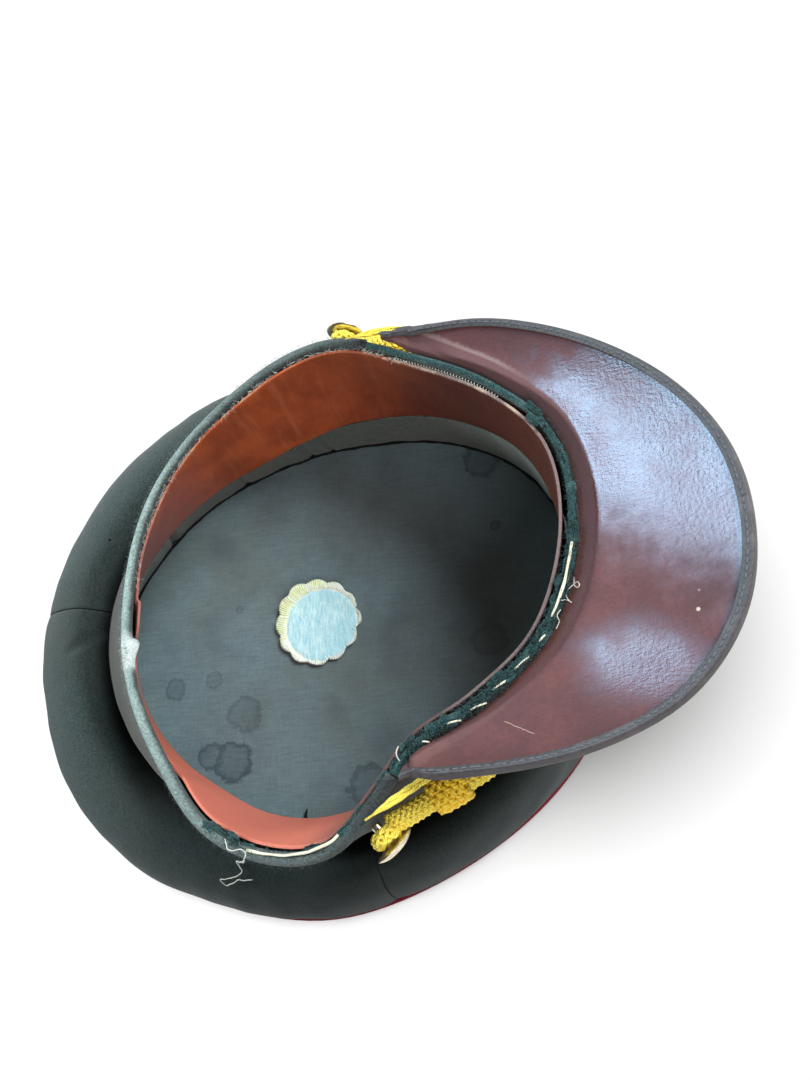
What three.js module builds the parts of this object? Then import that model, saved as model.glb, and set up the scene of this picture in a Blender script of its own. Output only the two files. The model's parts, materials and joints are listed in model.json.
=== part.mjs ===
// Peaked cap with a soft wool crown, lying upside down on the crown's flat top.
// Millimetres, +Z up, +X to the front of the cap, -Y to the wearer's left.
// The origin is the middle of the crown's top, on the surface that the cap lies on.

import * as THREE from "three";

// Clearance left between two pieces that are sewn together or touch
const SEAM_GAP = 0.3;
// Sections in one turn round the head
const SECTIONS = 72;

// Rim of the opening: a sloping plane, higher at the front
const OPENING_CENTRE = 20;
const OPENING_RADIUS = 93;
const RIM_HEIGHT = 75.5;
const RIM_SLOPE = 0.165;
const ROLL_RADIUS = 2.5;
const WELT_RADIUS = 1.8;
const ROLL_SIDES = 8;
const WELT_SIDES = 6;
const WELT_FROM = -71;
const WELT_TO = 76;

// Band: stiffened cloth between the rim and the seam where the crown starts
const BAND_SEAM_HEIGHT = 36;
const BAND_SEAM_SLOPE = 0.105;
const BAND_WALL = 2;
const BAND_LAP = 2;
const BAND_LEVELS = [0, 0.33, 0.67, 1];

// Crown: flat top, red piping and four flaring quarters
const CROWN_TOP_WALL = 1.6;
const QUARTER_WALL = 1.8;
const QUARTER_STEPS = 18;
const CROWN_PUFF_AT_BACK = 1;
const CROWN_SWELL = 3;
const PIPING_RADIUS = 1.6;
const PIPING_SIDES = 6;
const PIPING_HEIGHT = PIPING_RADIUS + SEAM_GAP;

// Leather sweatband and cloth lining
const SWEATBAND_DEPTH = 46;
const SWEATBAND_WALL = 1.2;
const SWEATBAND_LOOSE_AT_FRONT = 0.8;
const LINING_WALL = 1.2;
const LINING_LEVELS = [0, 0.5, 1];

// Scalloped disc in the middle of the lining
const PATCH_CENTRE = new THREE.Vector2(-3.5, -2.5);
const PATCH_RADIUS = 18.6;
const PATCH_THICKNESS = 2;
const PATCH_SCALLOPS = 12;
const PATCH_SCALLOP_DEPTH = 1.5;
const PATCH_POINTS = 72;

// Peak: two stiff skins in a bound edge
const PEAK_SKIN = 0.8;
const PEAK_STEPS = 28;
const PEAK_CAMBERED_FROM = 18;
const BINDING_WALL = 0.7;
const BINDING_LIP = 2.4;
const BINDING_HALF_SLOT = 1.25;

// Gold cord, its slides and the thin tape beside it
const CORD_WIDTH = 9;
const CORD_THICKNESS = 5.5;
const CORD_SIDES = 8;
const CORD_STEPS = 36;
const SLIDE_LENGTH = 13;
const SLIDE_WALL = 2.2;
const SLIDE_SIDES = 12;
const SLIDE_SHOULDER = 0.5;
const SLIDE_END_WALL = 1.5;
const SLIDE_PLACES = { slide_left: 0.085, slide_right: 0.915 };
const LACE_WIDTH = 4.4;
const LACE_THICKNESS = 1.2;
const LACE_STEPS = 40;
const LACE_SIDES = 4;

// Domed buttons that the cord is looped on
const BUTTON_RADIUS = 8;
const BUTTON_DOME = 3.4;
const BUTTON_RIM = 1.4;
const BUTTON_SHOULDER = { out: 4.8, rise: 2.7 };
const SHANK_RADIUS = 1.8;
const BUTTON_SIDES = 16;

// Bare lengths of the cream reed in the torn rim
const REED_RADIUS = 0.9;
const REED_SIDES = 6;
const REED_STEPS = 10;

// Round the head, degrees from the front: radius of the rim with its dents, of the seam between
// band and crown, of the crown's sagging edge, of the sweatband's loose lower edge and of the
// lining's seam, all measured from the middle of the opening
const HEAD_ROWS = [
  { angle: 0, rim: 93, seam: 97, edge: 110.5, sweat: 90, lining: 95 },
  { angle: 20, rim: 94, seam: 99, edge: 110.5, sweat: 92, lining: 98 },
  { angle: 38, rim: 88.5, seam: 99, edge: 111, sweat: 91, lining: 97.5 },
  { angle: 62, rim: 85, seam: 95, edge: 112, sweat: 85, lining: 91 },
  { angle: 88, rim: 91, seam: 94.5, edge: 120.5, sweat: 80, lining: 85.3 },
  { angle: 120, rim: 85.6, seam: 99, edge: 131.5, sweat: 82.5, lining: 90 },
  { angle: 150, rim: 84.5, seam: 107, edge: 145.5, sweat: 97, lining: 105 },
  { angle: 180, rim: 83, seam: 116, edge: 152, sweat: 107, lining: 121 },
  { angle: 205, rim: 86.5, seam: 113, edge: 150.5, sweat: 104, lining: 115 },
  { angle: 228, rim: 92, seam: 106, edge: 141.5, sweat: 97, lining: 105 },
  { angle: 246, rim: 101.5, seam: 101, edge: 132.8, sweat: 94.5, lining: 101 },
  { angle: 262, rim: 104, seam: 97, edge: 126.5, sweat: 90.5, lining: 95 },
  { angle: 274, rim: 101, seam: 94.5, edge: 120, sweat: 86.5, lining: 92 },
  { angle: 284, rim: 89, seam: 93, edge: 115.5, sweat: 84, lining: 91 },
  { angle: 297, rim: 78.5, seam: 92, edge: 112, sweat: 82, lining: 91 },
  { angle: 315, rim: 82, seam: 93, edge: 110.5, sweat: 84, lining: 92 },
  { angle: 335, rim: 89, seam: 95, edge: 110.5, sweat: 88, lining: 93 },
];

// Across a crown quarter, from the band's seam out to the piping: share of the way out, share of
// the fall to the piping, rise of the puffed cloth, and share of its swell past the piping
const QUARTER_ROWS = [
  { out: 0, fall: 0, lift: 0, swell: 0 },
  { out: 0.1, fall: 0, lift: 1.5, swell: 0 },
  { out: 0.3, fall: 0.08, lift: 4, swell: 0.1 },
  { out: 0.55, fall: 0.25, lift: 5, swell: 0.5 },
  { out: 0.8, fall: 0.5, lift: 5, swell: 0.9 },
  { out: 0.95, fall: 0.75, lift: 4, swell: 1 },
  { out: 1, fall: 1, lift: 0, swell: 0.2 },
];

// The four seams of the crown, degrees from the front about the middle of the opening
const QUARTERS = [
  { name: "crown_front_right", from: 0, to: 82 },
  { name: "crown_back_right", from: 82, to: 177 },
  { name: "crown_back_left", from: 177, to: 275 },
  { name: "crown_front_left", from: 275, to: 360 },
];

// Outer edge of the peak from the wearer's left to the right, about the middle of the opening
const PEAK_ROWS = [
  { angle: -69.5, reach: 88.4, height: 88.2 },
  { angle: -66, reach: 89.4, height: 90.6 },
  { angle: -59, reach: 94.5, height: 93.4 },
  { angle: -50, reach: 105, height: 97 },
  { angle: -40, reach: 119.5, height: 103 },
  { angle: -29, reach: 135, height: 109.4 },
  { angle: -18, reach: 143, height: 113 },
  { angle: -8, reach: 144, height: 114 },
  { angle: 3, reach: 141.5, height: 112.5 },
  { angle: 15, reach: 133.5, height: 108.5 },
  { angle: 31, reach: 119.5, height: 102 },
  { angle: 49, reach: 105, height: 95.5 },
  { angle: 64, reach: 93.6, height: 90 },
  { angle: 71.5, reach: 92.4, height: 87.4 },
];

// Across the peak from the rim to its edge: the strip that is bent down to the seam, then the
// hollow of the cambered underside
const CAMBER_ROWS = [
  { along: 0, dip: 3.6 },
  { along: 0.06, dip: 2.2 },
  { along: 0.13, dip: 0.8 },
  { along: 0.4, dip: 2 },
  { along: 0.7, dip: 1.4 },
  { along: 1, dip: 0 },
];

// Route of the plaited cord from button to button, in front of the band and clear of the peak
const CORD_ROWS = [
  { angle: -76.7, radius: 96, height: 70 },
  { angle: -70, radius: 93.8, height: 70 },
  { angle: -63, radius: 93, height: 70.5 },
  { angle: -54, radius: 95, height: 72 },
  { angle: -42, radius: 96, height: 74.5 },
  { angle: -24, radius: 98.5, height: 78 },
  { angle: 0, radius: 101, height: 80 },
  { angle: 24, radius: 101, height: 78 },
  { angle: 44, radius: 98.5, height: 75 },
  { angle: 60, radius: 97, height: 72.5 },
  { angle: 70, radius: 97.8, height: 71 },
  { angle: 77.7, radius: 97.2, height: 70.3 },
  { angle: 82.6, radius: 96.4, height: 70 },
];

// Route of the thin tape, which starts on the rolled edge and passes below the peak's ends
const LACE_ROWS = [
  { angle: -79, radius: 94.5, height: 84.9 },
  { angle: -72, radius: 91.3, height: 85 },
  { angle: -64, radius: 89.2, height: 83 },
  { angle: -52, radius: 90, height: 83.5 },
  { angle: -30, radius: 94, height: 86 },
  { angle: 0, radius: 99.5, height: 88 },
  { angle: 30, radius: 97.5, height: 86 },
  { angle: 52, radius: 94.5, height: 84 },
  { angle: 61, radius: 95, height: 83.8 },
  { angle: 69.5, radius: 96.4, height: 83.4 },
  { angle: 75.5, radius: 93.6, height: 85.9 },
  { angle: 80.5, radius: 89.6, height: 84.9 },
];

// The buttons, on the band just behind the ends of the peak
const BUTTONS = [
  { name: "button_left", angle: -80, height: 70, stand: 8.5 },
  { name: "button_right", angle: 85, height: 70, stand: 8.5 },
];

// Where the reed lies bare, the radius of the edge below it, and its place out of that edge's middle
const REEDS = [
  { name: "reed_front", from: -59, to: -6, on: WELT_RADIUS, out: 0.3 },
  { name: "reed_side", from: 256, to: 275, on: ROLL_RADIUS, out: -1.8 },
];

// A value read from a table round the ring, smooth between its rows
function readRound(rows, column, angle) {
  const turn = 360;
  const count = rows.length;
  const wanted = THREE.MathUtils.euclideanModulo(angle, turn);
  const first = rows.findLastIndex((row) => row.angle <= wanted);
  const rowAt = (step) => {
    const place = first + step;
    const row = rows[THREE.MathUtils.euclideanModulo(place, count)];
    return { angle: row.angle + turn * Math.floor(place / count), value: row[column] };
  };
  const [before, start, end, after] = [-1, 0, 1, 2].map(rowAt);
  const span = end.angle - start.angle;
  const share = (wanted - start.angle) / span;
  const leaving = ((end.value - before.value) / (end.angle - before.angle)) * span;
  const arriving = ((after.value - start.value) / (after.angle - start.angle)) * span;
  const eased = share * share * (3 - 2 * share);
  const curl = share * (1 - share);
  return start.value * (1 - eased) + end.value * eased
    + curl * ((1 - share) * leaving - share * arriving);
}

// Point at an angle and a radius round a centre on the X axis
function polar(centre, angle, radius, height) {
  const turn = THREE.MathUtils.degToRad(angle);
  return new THREE.Vector3(centre + radius * Math.cos(turn), radius * Math.sin(turn), height);
}

const rimRing = (angle) => {
  const point = polar(OPENING_CENTRE, angle, readRound(HEAD_ROWS, "rim", angle), 0);
  point.z = RIM_HEIGHT + RIM_SLOPE * point.x;
  return point;
};

const seamRing = (angle) => {
  const point = polar(OPENING_CENTRE, angle, readRound(HEAD_ROWS, "seam", angle), 0);
  point.z = BAND_SEAM_HEIGHT + BAND_SEAM_SLOPE * point.x;
  return point;
};

const edgeRing = (angle) =>
  polar(OPENING_CENTRE, angle, readRound(HEAD_ROWS, "edge", angle), PIPING_HEIGHT);

// Lower edge of the sweatband: its slant depth below the rim stays the same all round
const sweatRing = (angle) => {
  const top = rimRing(angle);
  const point = polar(OPENING_CENTRE, angle, readRound(HEAD_ROWS, "sweat", angle), 0);
  const lean = Math.hypot(point.x - top.x, point.y - top.y);
  point.z = top.z - Math.sqrt(SWEATBAND_DEPTH ** 2 - lean ** 2);
  return point;
};

const liningFloor = CROWN_TOP_WALL + SEAM_GAP;
const liningRing = (angle) => {
  const radius = readRound(HEAD_ROWS, "lining", angle);
  return polar(OPENING_CENTRE, angle, radius, liningFloor + LINING_WALL + SEAM_GAP);
};

// Ring part of the way from one ring to another
const between = (low, high, share) => (angle) => low(angle).lerp(high(angle), share);

// Direction along a ring, over a short step to both sides
function direction(ring, angle) {
  const step = 0.5;
  return ring(angle + step).sub(ring(angle - step)).normalize();
}

// Level direction out of a ring
function outward(ring, angle) {
  const along = direction(ring, angle);
  return new THREE.Vector3(along.y, -along.x, 0).normalize();
}

// Point moved level out of its ring, and up
function offset(ring, angle, out, up = 0) {
  const point = ring(angle).addScaledVector(outward(ring, angle), out);
  point.z += up;
  return point;
}

// How far a direction faces the back (1) or the front (0)
const backness = (angle) => ((1 - Math.cos(THREE.MathUtils.degToRad(angle))) / 2) ** 2;
const frontness = (angle) => Math.max(0, Math.cos(THREE.MathUtils.degToRad(angle))) ** 6;

const turnAngles = Array.from({ length: SECTIONS }, (_, step) => (step * 360) / SECTIONS);
const spread = (from, to, steps) =>
  Array.from({ length: steps + 1 }, (_, step) => from + ((to - from) * step) / steps);

// Closed body through loops of points, joined end to end or capped at both ends
function loft(loops, ring) {
  const count = loops[0].length;
  const index = [];
  const last = ring ? loops.length : loops.length - 1;
  for (let step = 0; step < last; step += 1) {
    const here = step * count;
    const next = ((step + 1) % loops.length) * count;
    for (let side = 0; side < count; side += 1) {
      const other = (side + 1) % count;
      index.push(here + side, next + side, next + other);
      index.push(here + side, next + other, here + other);
    }
  }
  if (!ring) {
    const end = (loops.length - 1) * count;
    for (let side = 0; side < count / 2 - 1; side += 1) {
      const far = count - 1 - side;
      index.push(side, side + 1, far - 1);
      index.push(side, far - 1, far);
      index.push(end + side, end + far - 1, end + side + 1);
      index.push(end + side, end + far, end + far - 1);
    }
  }
  return faceOut(loops.flat(), index);
}

// Geometry with its faces turned outwards
function faceOut(points, index) {
  let volume = 0;
  for (let place = 0; place < index.length; place += 3) {
    const [a, b, c] = [0, 1, 2].map((corner) => points[index[place + corner]]);
    volume += a.dot(b.clone().cross(c));
  }
  const faces = volume > 0 ? index : index.slice().reverse();
  const geometry = new THREE.BufferGeometry().setFromPoints(points);
  geometry.setIndex(faces);
  geometry.computeVertexNormals();
  return geometry;
}

// Loop of a wall: its outer points, then its inner ones back again
function wallLoop(rings, angle, thickness) {
  const outer = rings.map((ring) => ring(angle));
  const inner = rings.map((ring) => offset(ring, angle, -thickness));
  return [...outer, ...inner.reverse()];
}

const ringWall = (rings, thickness) =>
  loft(turnAngles.map((angle) => wallLoop(rings, angle, thickness)), true);

// Line in a section moved sideways by a distance at each of its points
function shifted(line, distance) {
  return line.map((point, place) => {
    const before = line[Math.max(place - 1, 0)];
    const after = line[Math.min(place + 1, line.length - 1)];
    const along = after.clone().sub(before).normalize();
    return new THREE.Vector2(point.x - along.y * distance, point.y + along.x * distance);
  });
}

// Loop of a skin between two distances from a line in a section
function skinLoop(line, low, high) {
  return [...shifted(line, high), ...shifted(line, low).reverse()];
}

// Section points set upright in space, from a start point along a level direction
function raise(loop, start, level) {
  return loop.map((point) => {
    const raised = start.clone().addScaledVector(level, point.x);
    raised.z += point.y;
    return raised;
  });
}

// Round or oval loop across a path, with its width level and its thickness upright
function cordLoop(centre, along, width, thickness, sides) {
  const level = new THREE.Vector3(along.y, -along.x, 0).normalize();
  const upright = level.clone().cross(along).normalize();
  return spread(0, 360, sides).slice(0, sides).map((angle) => {
    const turn = THREE.MathUtils.degToRad(angle + 180 / sides);
    return centre.clone()
      .addScaledVector(level, (Math.cos(turn) * width) / 2)
      .addScaledVector(upright, (Math.sin(turn) * thickness) / 2);
  });
}

const pathThrough = (rows) =>
  new THREE.CatmullRomCurve3(
    rows.map((row) => polar(OPENING_CENTRE, row.angle, row.radius, row.height)),
  );

function cordAlong(path, steps, width, thickness, sides) {
  const loops = spread(0, 1, steps).map((share) =>
    cordLoop(path.getPointAt(share), path.getTangentAt(share), width, thickness, sides));
  return loft(loops, false);
}

// Round rod that follows the rim between two angles, out of it and over it
function rimRod(from, to, steps, radius, sides, out = 0, lift = 0) {
  const line = (angle) => offset(rimRing, angle, out, lift);
  const loops = spread(from, to, steps).map((angle) =>
    cordLoop(line(angle), direction(line, angle), 2 * radius, 2 * radius, sides));
  return loft(loops, false);
}

// Flat plate over a ring
function plate(ring, inset, floor, thickness) {
  const outline = turnAngles.map((angle) => {
    const point = offset(ring, angle, -inset);
    return new THREE.Vector2(point.x, point.y);
  });
  const geometry = new THREE.ExtrudeGeometry(new THREE.Shape(outline), {
    depth: thickness,
    bevelEnabled: false,
  });
  return geometry.translate(0, 0, floor);
}

// Quarter of the crown between two seams
function crownQuarter(from, to) {
  const seamTurn = THREE.MathUtils.radToDeg(SEAM_GAP / 2 / OPENING_RADIUS);
  const foot = PIPING_HEIGHT + PIPING_RADIUS + SEAM_GAP;
  const loops = spread(from + seamTurn, to - seamTurn, QUARTER_STEPS).map((angle) => {
    const start = offset(seamRing, angle, 2 * SEAM_GAP);
    const level = edgeRing(angle).sub(start).setZ(0);
    const length = level.length();
    const puff = 1 + CROWN_PUFF_AT_BACK * backness(angle);
    const line = QUARTER_ROWS.map((row) => new THREE.Vector2(
      length * row.out + CROWN_SWELL * row.swell * backness(angle),
      (foot - start.z) * row.fall + row.lift * puff,
    ));
    return raise(skinLoop(line, -QUARTER_WALL, 0), start, level.normalize());
  });
  return loft(loops, false);
}

function crownPiping() {
  const width = 2 * PIPING_RADIUS;
  const loops = turnAngles.map((angle) =>
    cordLoop(edgeRing(angle), direction(edgeRing, angle), width, width, PIPING_SIDES));
  return loft(loops, true);
}

function band() {
  const foot = (angle) => offset(seamRing, angle, 0, -BAND_LAP);
  const head = (angle) => offset(rimRing, angle, BAND_WALL / 2, -ROLL_RADIUS - SEAM_GAP);
  return ringWall(BAND_LEVELS.map((share) => between(foot, head, share)), BAND_WALL);
}

// The sweatband hugs the rolled edge and the thinner welt, but stands loose of it at the front
const sweatTop = (angle) => {
  const thinner = (ROLL_RADIUS - WELT_RADIUS) * Math.max(0, Math.cos(THREE.MathUtils.degToRad(angle)));
  const loose = SWEATBAND_LOOSE_AT_FRONT * frontness(angle);
  return offset(rimRing, angle, thinner - ROLL_RADIUS - 2 * SEAM_GAP - loose);
};

const sweatband = () =>
  ringWall(LINING_LEVELS.map((share) => between(sweatRing, sweatTop, share)), SWEATBAND_WALL);

function liningSide() {
  const head = (angle) => offset(sweatRing, angle, 0, -SEAM_GAP);
  return ringWall(LINING_LEVELS.map((share) => between(liningRing, head, share)), LINING_WALL);
}

function liningPatch() {
  const outline = spread(0, 360, PATCH_POINTS).slice(0, PATCH_POINTS).map((angle) => {
    const turn = THREE.MathUtils.degToRad(angle);
    const scallop = Math.abs(Math.sin((PATCH_SCALLOPS / 2) * turn));
    const radius = PATCH_RADIUS + PATCH_SCALLOP_DEPTH * scallop;
    return new THREE.Vector2(Math.cos(turn), Math.sin(turn)).multiplyScalar(radius).add(PATCH_CENTRE);
  });
  const geometry = new THREE.ExtrudeGeometry(new THREE.Shape(outline), {
    depth: PATCH_THICKNESS,
    bevelEnabled: false,
  });
  return geometry.translate(0, 0, liningFloor + LINING_WALL + SEAM_GAP);
}

// Sections of the peak from its left end to its right one, each with the line of its camber
function peakSections() {
  const edge = new THREE.CatmullRomCurve3(
    PEAK_ROWS.map((row) => polar(OPENING_CENTRE, row.angle, row.reach, row.height)),
  );
  return spread(0, 1, PEAK_STEPS).map((share) => {
    const outer = edge.getPointAt(share);
    const angle = THREE.MathUtils.radToDeg(Math.atan2(outer.y, outer.x - OPENING_CENTRE));
    const start = offset(rimRing, angle, WELT_RADIUS + 3 * SEAM_GAP);
    const rise = outer.z - start.z;
    const level = outer.sub(start).setZ(0);
    const length = level.length();
    const line = CAMBER_ROWS.map((row) => new THREE.Vector2(
      length * row.along,
      rise * row.along - row.dip * Math.min(1, length / PEAK_CAMBERED_FROM),
    ));
    return { start, level: level.normalize(), line };
  });
}

function peakSkin(low, high) {
  return loft(peakSections().map(({ start, level, line }) =>
    raise(skinLoop(line, low, high), start, level)), false);
}

// Folded strip round the peak's edge
function peakBinding() {
  return loft(peakSections().map(({ start, level, line }) => {
    const end = line[line.length - 1];
    const along = end.clone().sub(line[line.length - 2]).normalize();
    const across = new THREE.Vector2(-along.y, along.x);
    const corner = (out, up) => end.clone().addScaledVector(along, out).addScaledVector(across, up);
    const lip = -Math.min(BINDING_LIP, end.length() - 2 * SEAM_GAP);
    const fold = (grow) => [
      corner(lip, BINDING_HALF_SLOT + grow),
      corner(SEAM_GAP + grow, BINDING_HALF_SLOT + grow),
      corner(SEAM_GAP + grow, -BINDING_HALF_SLOT - grow),
      corner(lip, -BINDING_HALF_SLOT - grow),
    ];
    return raise([...fold(BINDING_WALL), ...fold(0).reverse()], start, level);
  }), false);
}

// Plaited slide round the cord, with a bore that clears it
function slide(path, place) {
  const half = SLIDE_LENGTH / path.getLength() / 2;
  const rows = [
    { along: -1, grow: 2 * SEAM_GAP },
    { along: -1, grow: SLIDE_END_WALL },
    { along: -SLIDE_SHOULDER, grow: SLIDE_WALL },
    { along: SLIDE_SHOULDER, grow: SLIDE_WALL },
    { along: 1, grow: SLIDE_END_WALL },
    { along: 1, grow: 2 * SEAM_GAP },
  ];
  const hoops = rows.map((row) => {
    const share = place + half * row.along;
    const grown = 2 * row.grow;
    return cordLoop(path.getPointAt(share), path.getTangentAt(share),
      CORD_WIDTH + grown, CORD_THICKNESS + grown, SLIDE_SIDES);
  });
  const loops = hoops[0].map((_, side) => hoops.map((hoop) => hoop[side]));
  return loft(loops, true);
}

// Button turned about its shank, which points at the band
function button(row) {
  const rim = rimRing(row.angle);
  const seam = seamRing(row.angle);
  const share = (row.height - seam.z) / (rim.z - seam.z);
  const wall = between(seamRing, rimRing, share);
  const seat = offset(wall, row.angle, BAND_WALL / 2 + 2 * SEAM_GAP);
  const face = outward(wall, row.angle);
  const profile = [
    new THREE.Vector2(0, 0),
    new THREE.Vector2(SHANK_RADIUS, 0),
    new THREE.Vector2(SHANK_RADIUS, row.stand),
    new THREE.Vector2(BUTTON_RADIUS - BUTTON_RIM / 2, row.stand),
    new THREE.Vector2(BUTTON_RADIUS, row.stand + BUTTON_RIM / 2),
    new THREE.Vector2(BUTTON_RADIUS - BUTTON_RIM / 2, row.stand + BUTTON_RIM),
    new THREE.Vector2(BUTTON_SHOULDER.out, row.stand + BUTTON_SHOULDER.rise),
    new THREE.Vector2(0, row.stand + BUTTON_DOME),
  ];
  const geometry = new THREE.LatheGeometry(profile, BUTTON_SIDES);
  geometry.applyQuaternion(
    new THREE.Quaternion().setFromUnitVectors(new THREE.Vector3(0, 1, 0), face));
  return geometry.translate(seat.x, seat.y, seat.z);
}

const cap = new THREE.Group();

function addPiece(name, geometry, material) {
  const mesh = new THREE.Mesh(geometry, new THREE.MeshStandardMaterial(material));
  mesh.name = name;
  cap.add(mesh);
}

const WOOL = { color: 0x353b39, roughness: 0.95, metalness: 0 };
const FADED_WOOL = { color: 0x66746f, roughness: 0.95, metalness: 0 };
const TORN_CLOTH = { color: 0x1c3d3d, roughness: 0.95, metalness: 0 };
const RED_CORD = { color: 0x6e1620, roughness: 0.8, metalness: 0 };
const CREAM_REED = { color: 0xe0d7b4, roughness: 0.7, metalness: 0 };
const LEATHER = { color: 0x8a3f20, roughness: 0.5, metalness: 0 };
const LINING = { color: 0x464e50, roughness: 0.7, metalness: 0 };
const PALE_SATIN = { color: 0xbcdde8, roughness: 0.6, metalness: 0 };
const OILCLOTH = { color: 0x66322d, roughness: 0.3, metalness: 0 };
const PATENT = { color: 0x101012, roughness: 0.15, metalness: 0 };
const BOUND_LEATHER = { color: 0x3a3033, roughness: 0.5, metalness: 0 };
const GOLD_THREAD = { color: 0xd6b82e, roughness: 0.5, metalness: 0.2 };
const BRASS = { color: 0xc9b27a, roughness: 0.35, metalness: 1 };

addPiece("crown_top", plate(edgeRing, PIPING_RADIUS + SEAM_GAP, 0, CROWN_TOP_WALL), WOOL);
addPiece("crown_piping", crownPiping(), RED_CORD);
for (const quarter of QUARTERS) {
  addPiece(quarter.name, crownQuarter(quarter.from, quarter.to), WOOL);
}
addPiece("band", band(), WOOL);

const weltGap = THREE.MathUtils.radToDeg(SEAM_GAP / OPENING_RADIUS);
const rollTurn = 360 + WELT_FROM - WELT_TO;
const rollSteps = Math.round((SECTIONS * rollTurn) / 360);
const weltSteps = SECTIONS - rollSteps;
addPiece("rim_roll", rimRod(WELT_TO + weltGap, 360 + WELT_FROM - weltGap, rollSteps,
  ROLL_RADIUS, ROLL_SIDES), FADED_WOOL);
addPiece("rim_welt", rimRod(WELT_FROM, WELT_TO, weltSteps, WELT_RADIUS, WELT_SIDES), TORN_CLOTH);
for (const reed of REEDS) {
  const lift = Math.sqrt((reed.on + SEAM_GAP + REED_RADIUS) ** 2 - reed.out ** 2);
  addPiece(reed.name, rimRod(reed.from, reed.to, REED_STEPS, REED_RADIUS, REED_SIDES, reed.out, lift),
    CREAM_REED);
}

addPiece("sweatband", sweatband(), LEATHER);
addPiece("lining_top", plate(liningRing, 0, liningFloor, LINING_WALL), LINING);
addPiece("lining_side", liningSide(), LINING);
addPiece("lining_patch", liningPatch(), PALE_SATIN);

addPiece("peak_under", peakSkin(SEAM_GAP / 2, SEAM_GAP / 2 + PEAK_SKIN), OILCLOTH);
addPiece("peak_upper", peakSkin(-SEAM_GAP / 2 - PEAK_SKIN, -SEAM_GAP / 2), PATENT);
addPiece("peak_binding", peakBinding(), BOUND_LEATHER);

const cordPath = pathThrough(CORD_ROWS);
addPiece("chin_cord", cordAlong(cordPath, CORD_STEPS, CORD_WIDTH, CORD_THICKNESS, CORD_SIDES),
  GOLD_THREAD);
for (const [name, place] of Object.entries(SLIDE_PLACES)) {
  addPiece(name, slide(cordPath, place), GOLD_THREAD);
}
const lacePath = pathThrough(LACE_ROWS);
addPiece("peak_lace", cordAlong(lacePath, LACE_STEPS, LACE_WIDTH, LACE_THICKNESS, LACE_SIDES),
  GOLD_THREAD);
for (const row of BUTTONS) {
  addPiece(row.name, button(row), BRASS);
}

export default cap;
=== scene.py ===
# Worn peaked cap lying upside down on its crown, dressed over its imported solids
import json
import math
import random

import bpy
from mathutils import Matrix, Vector, noise
from mathutils.bvhtree import BVHTree

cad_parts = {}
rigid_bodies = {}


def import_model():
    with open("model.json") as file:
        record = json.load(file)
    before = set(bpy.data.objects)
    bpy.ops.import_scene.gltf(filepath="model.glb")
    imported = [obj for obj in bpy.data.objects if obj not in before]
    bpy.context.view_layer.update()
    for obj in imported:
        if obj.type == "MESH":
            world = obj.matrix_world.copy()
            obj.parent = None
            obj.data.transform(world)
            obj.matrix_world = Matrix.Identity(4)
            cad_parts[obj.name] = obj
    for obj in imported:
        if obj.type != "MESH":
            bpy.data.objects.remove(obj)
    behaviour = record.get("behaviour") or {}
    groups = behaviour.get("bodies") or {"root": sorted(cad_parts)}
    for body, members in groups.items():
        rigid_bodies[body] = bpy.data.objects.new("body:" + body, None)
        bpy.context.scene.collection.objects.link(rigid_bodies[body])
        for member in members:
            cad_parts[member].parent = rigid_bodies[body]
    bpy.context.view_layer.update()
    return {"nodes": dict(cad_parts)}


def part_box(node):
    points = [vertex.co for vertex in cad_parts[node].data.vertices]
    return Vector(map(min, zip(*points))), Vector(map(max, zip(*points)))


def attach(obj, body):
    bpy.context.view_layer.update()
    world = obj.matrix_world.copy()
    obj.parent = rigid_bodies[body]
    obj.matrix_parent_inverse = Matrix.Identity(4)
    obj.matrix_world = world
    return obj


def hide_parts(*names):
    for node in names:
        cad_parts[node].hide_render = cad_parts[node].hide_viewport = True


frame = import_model()
chance = random.Random(11)
noise.seed_set(11)


# Crown top
# An oval of dark grey-green wool cloth, sewn into the piping round its edge. The cap lies on it,
# so it is pressed flat and slightly scuffed.
TOP_RINGS = 24
TOP_STEPS = 144
TOP_WALL = 0.0014
TOP_DENT = 0.0001
WOOL_DARK = (34, 42, 42)
WOOL_PALE = (72, 83, 82)
WOOL_FADED = (62, 66, 61)
LINT = (120, 122, 112)
VALLEY_SHADE = (8, 11, 11)
MOTH_HOLE = Vector((-0.0954, 0.0384, 0.0325))
MOTH_HOLE_RADIUS = 0.0008
MOTH_HOLE_STRETCH = Vector((1, 1, 0.2))


class Shade:
    """One value in a material's nodes. Arithmetic on it adds Math nodes."""

    def __init__(self, tree, socket=None):
        self.tree = tree
        self.socket = socket

    def node(self, kind, settings, sockets, out=0):
        made = self.tree.nodes.new(kind)
        for key, value in settings.items():
            setattr(made, key, value)
        for key, value in sockets.items():
            if isinstance(value, Shade):
                self.tree.links.new(value.socket, made.inputs[key])
            else:
                made.inputs[key].default_value = value
        return Shade(self.tree, made.outputs[out])

    def math(self, operation, first, second=0.0):
        return self.node("ShaderNodeMath", {"operation": operation}, {0: first, 1: second})

    def __add__(self, other):
        return self.math("ADD", self, other)

    def __radd__(self, other):
        return self.math("ADD", other, self)

    def __sub__(self, other):
        return self.math("SUBTRACT", self, other)

    def __rsub__(self, other):
        return self.math("SUBTRACT", other, self)

    def __mul__(self, other):
        return self.math("MULTIPLY", self, other)

    def __abs__(self):
        return self.math("ABSOLUTE", self)


def dyed(shade):
    """Linear colour of a shade given in steps of 255"""
    return (*(((step / 255 + 0.055) / 1.055) ** 2.4 for step in shade), 1.0)


def speckle(place, size, detail=3.0, rough=0.55):
    """Uneven value from 0 to 1 whose spots have a size in metres"""
    return place.node("ShaderNodeTexNoise", {},
                      {"Vector": place, "Scale": 1 / size, "Detail": detail, "Roughness": rough})


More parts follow.
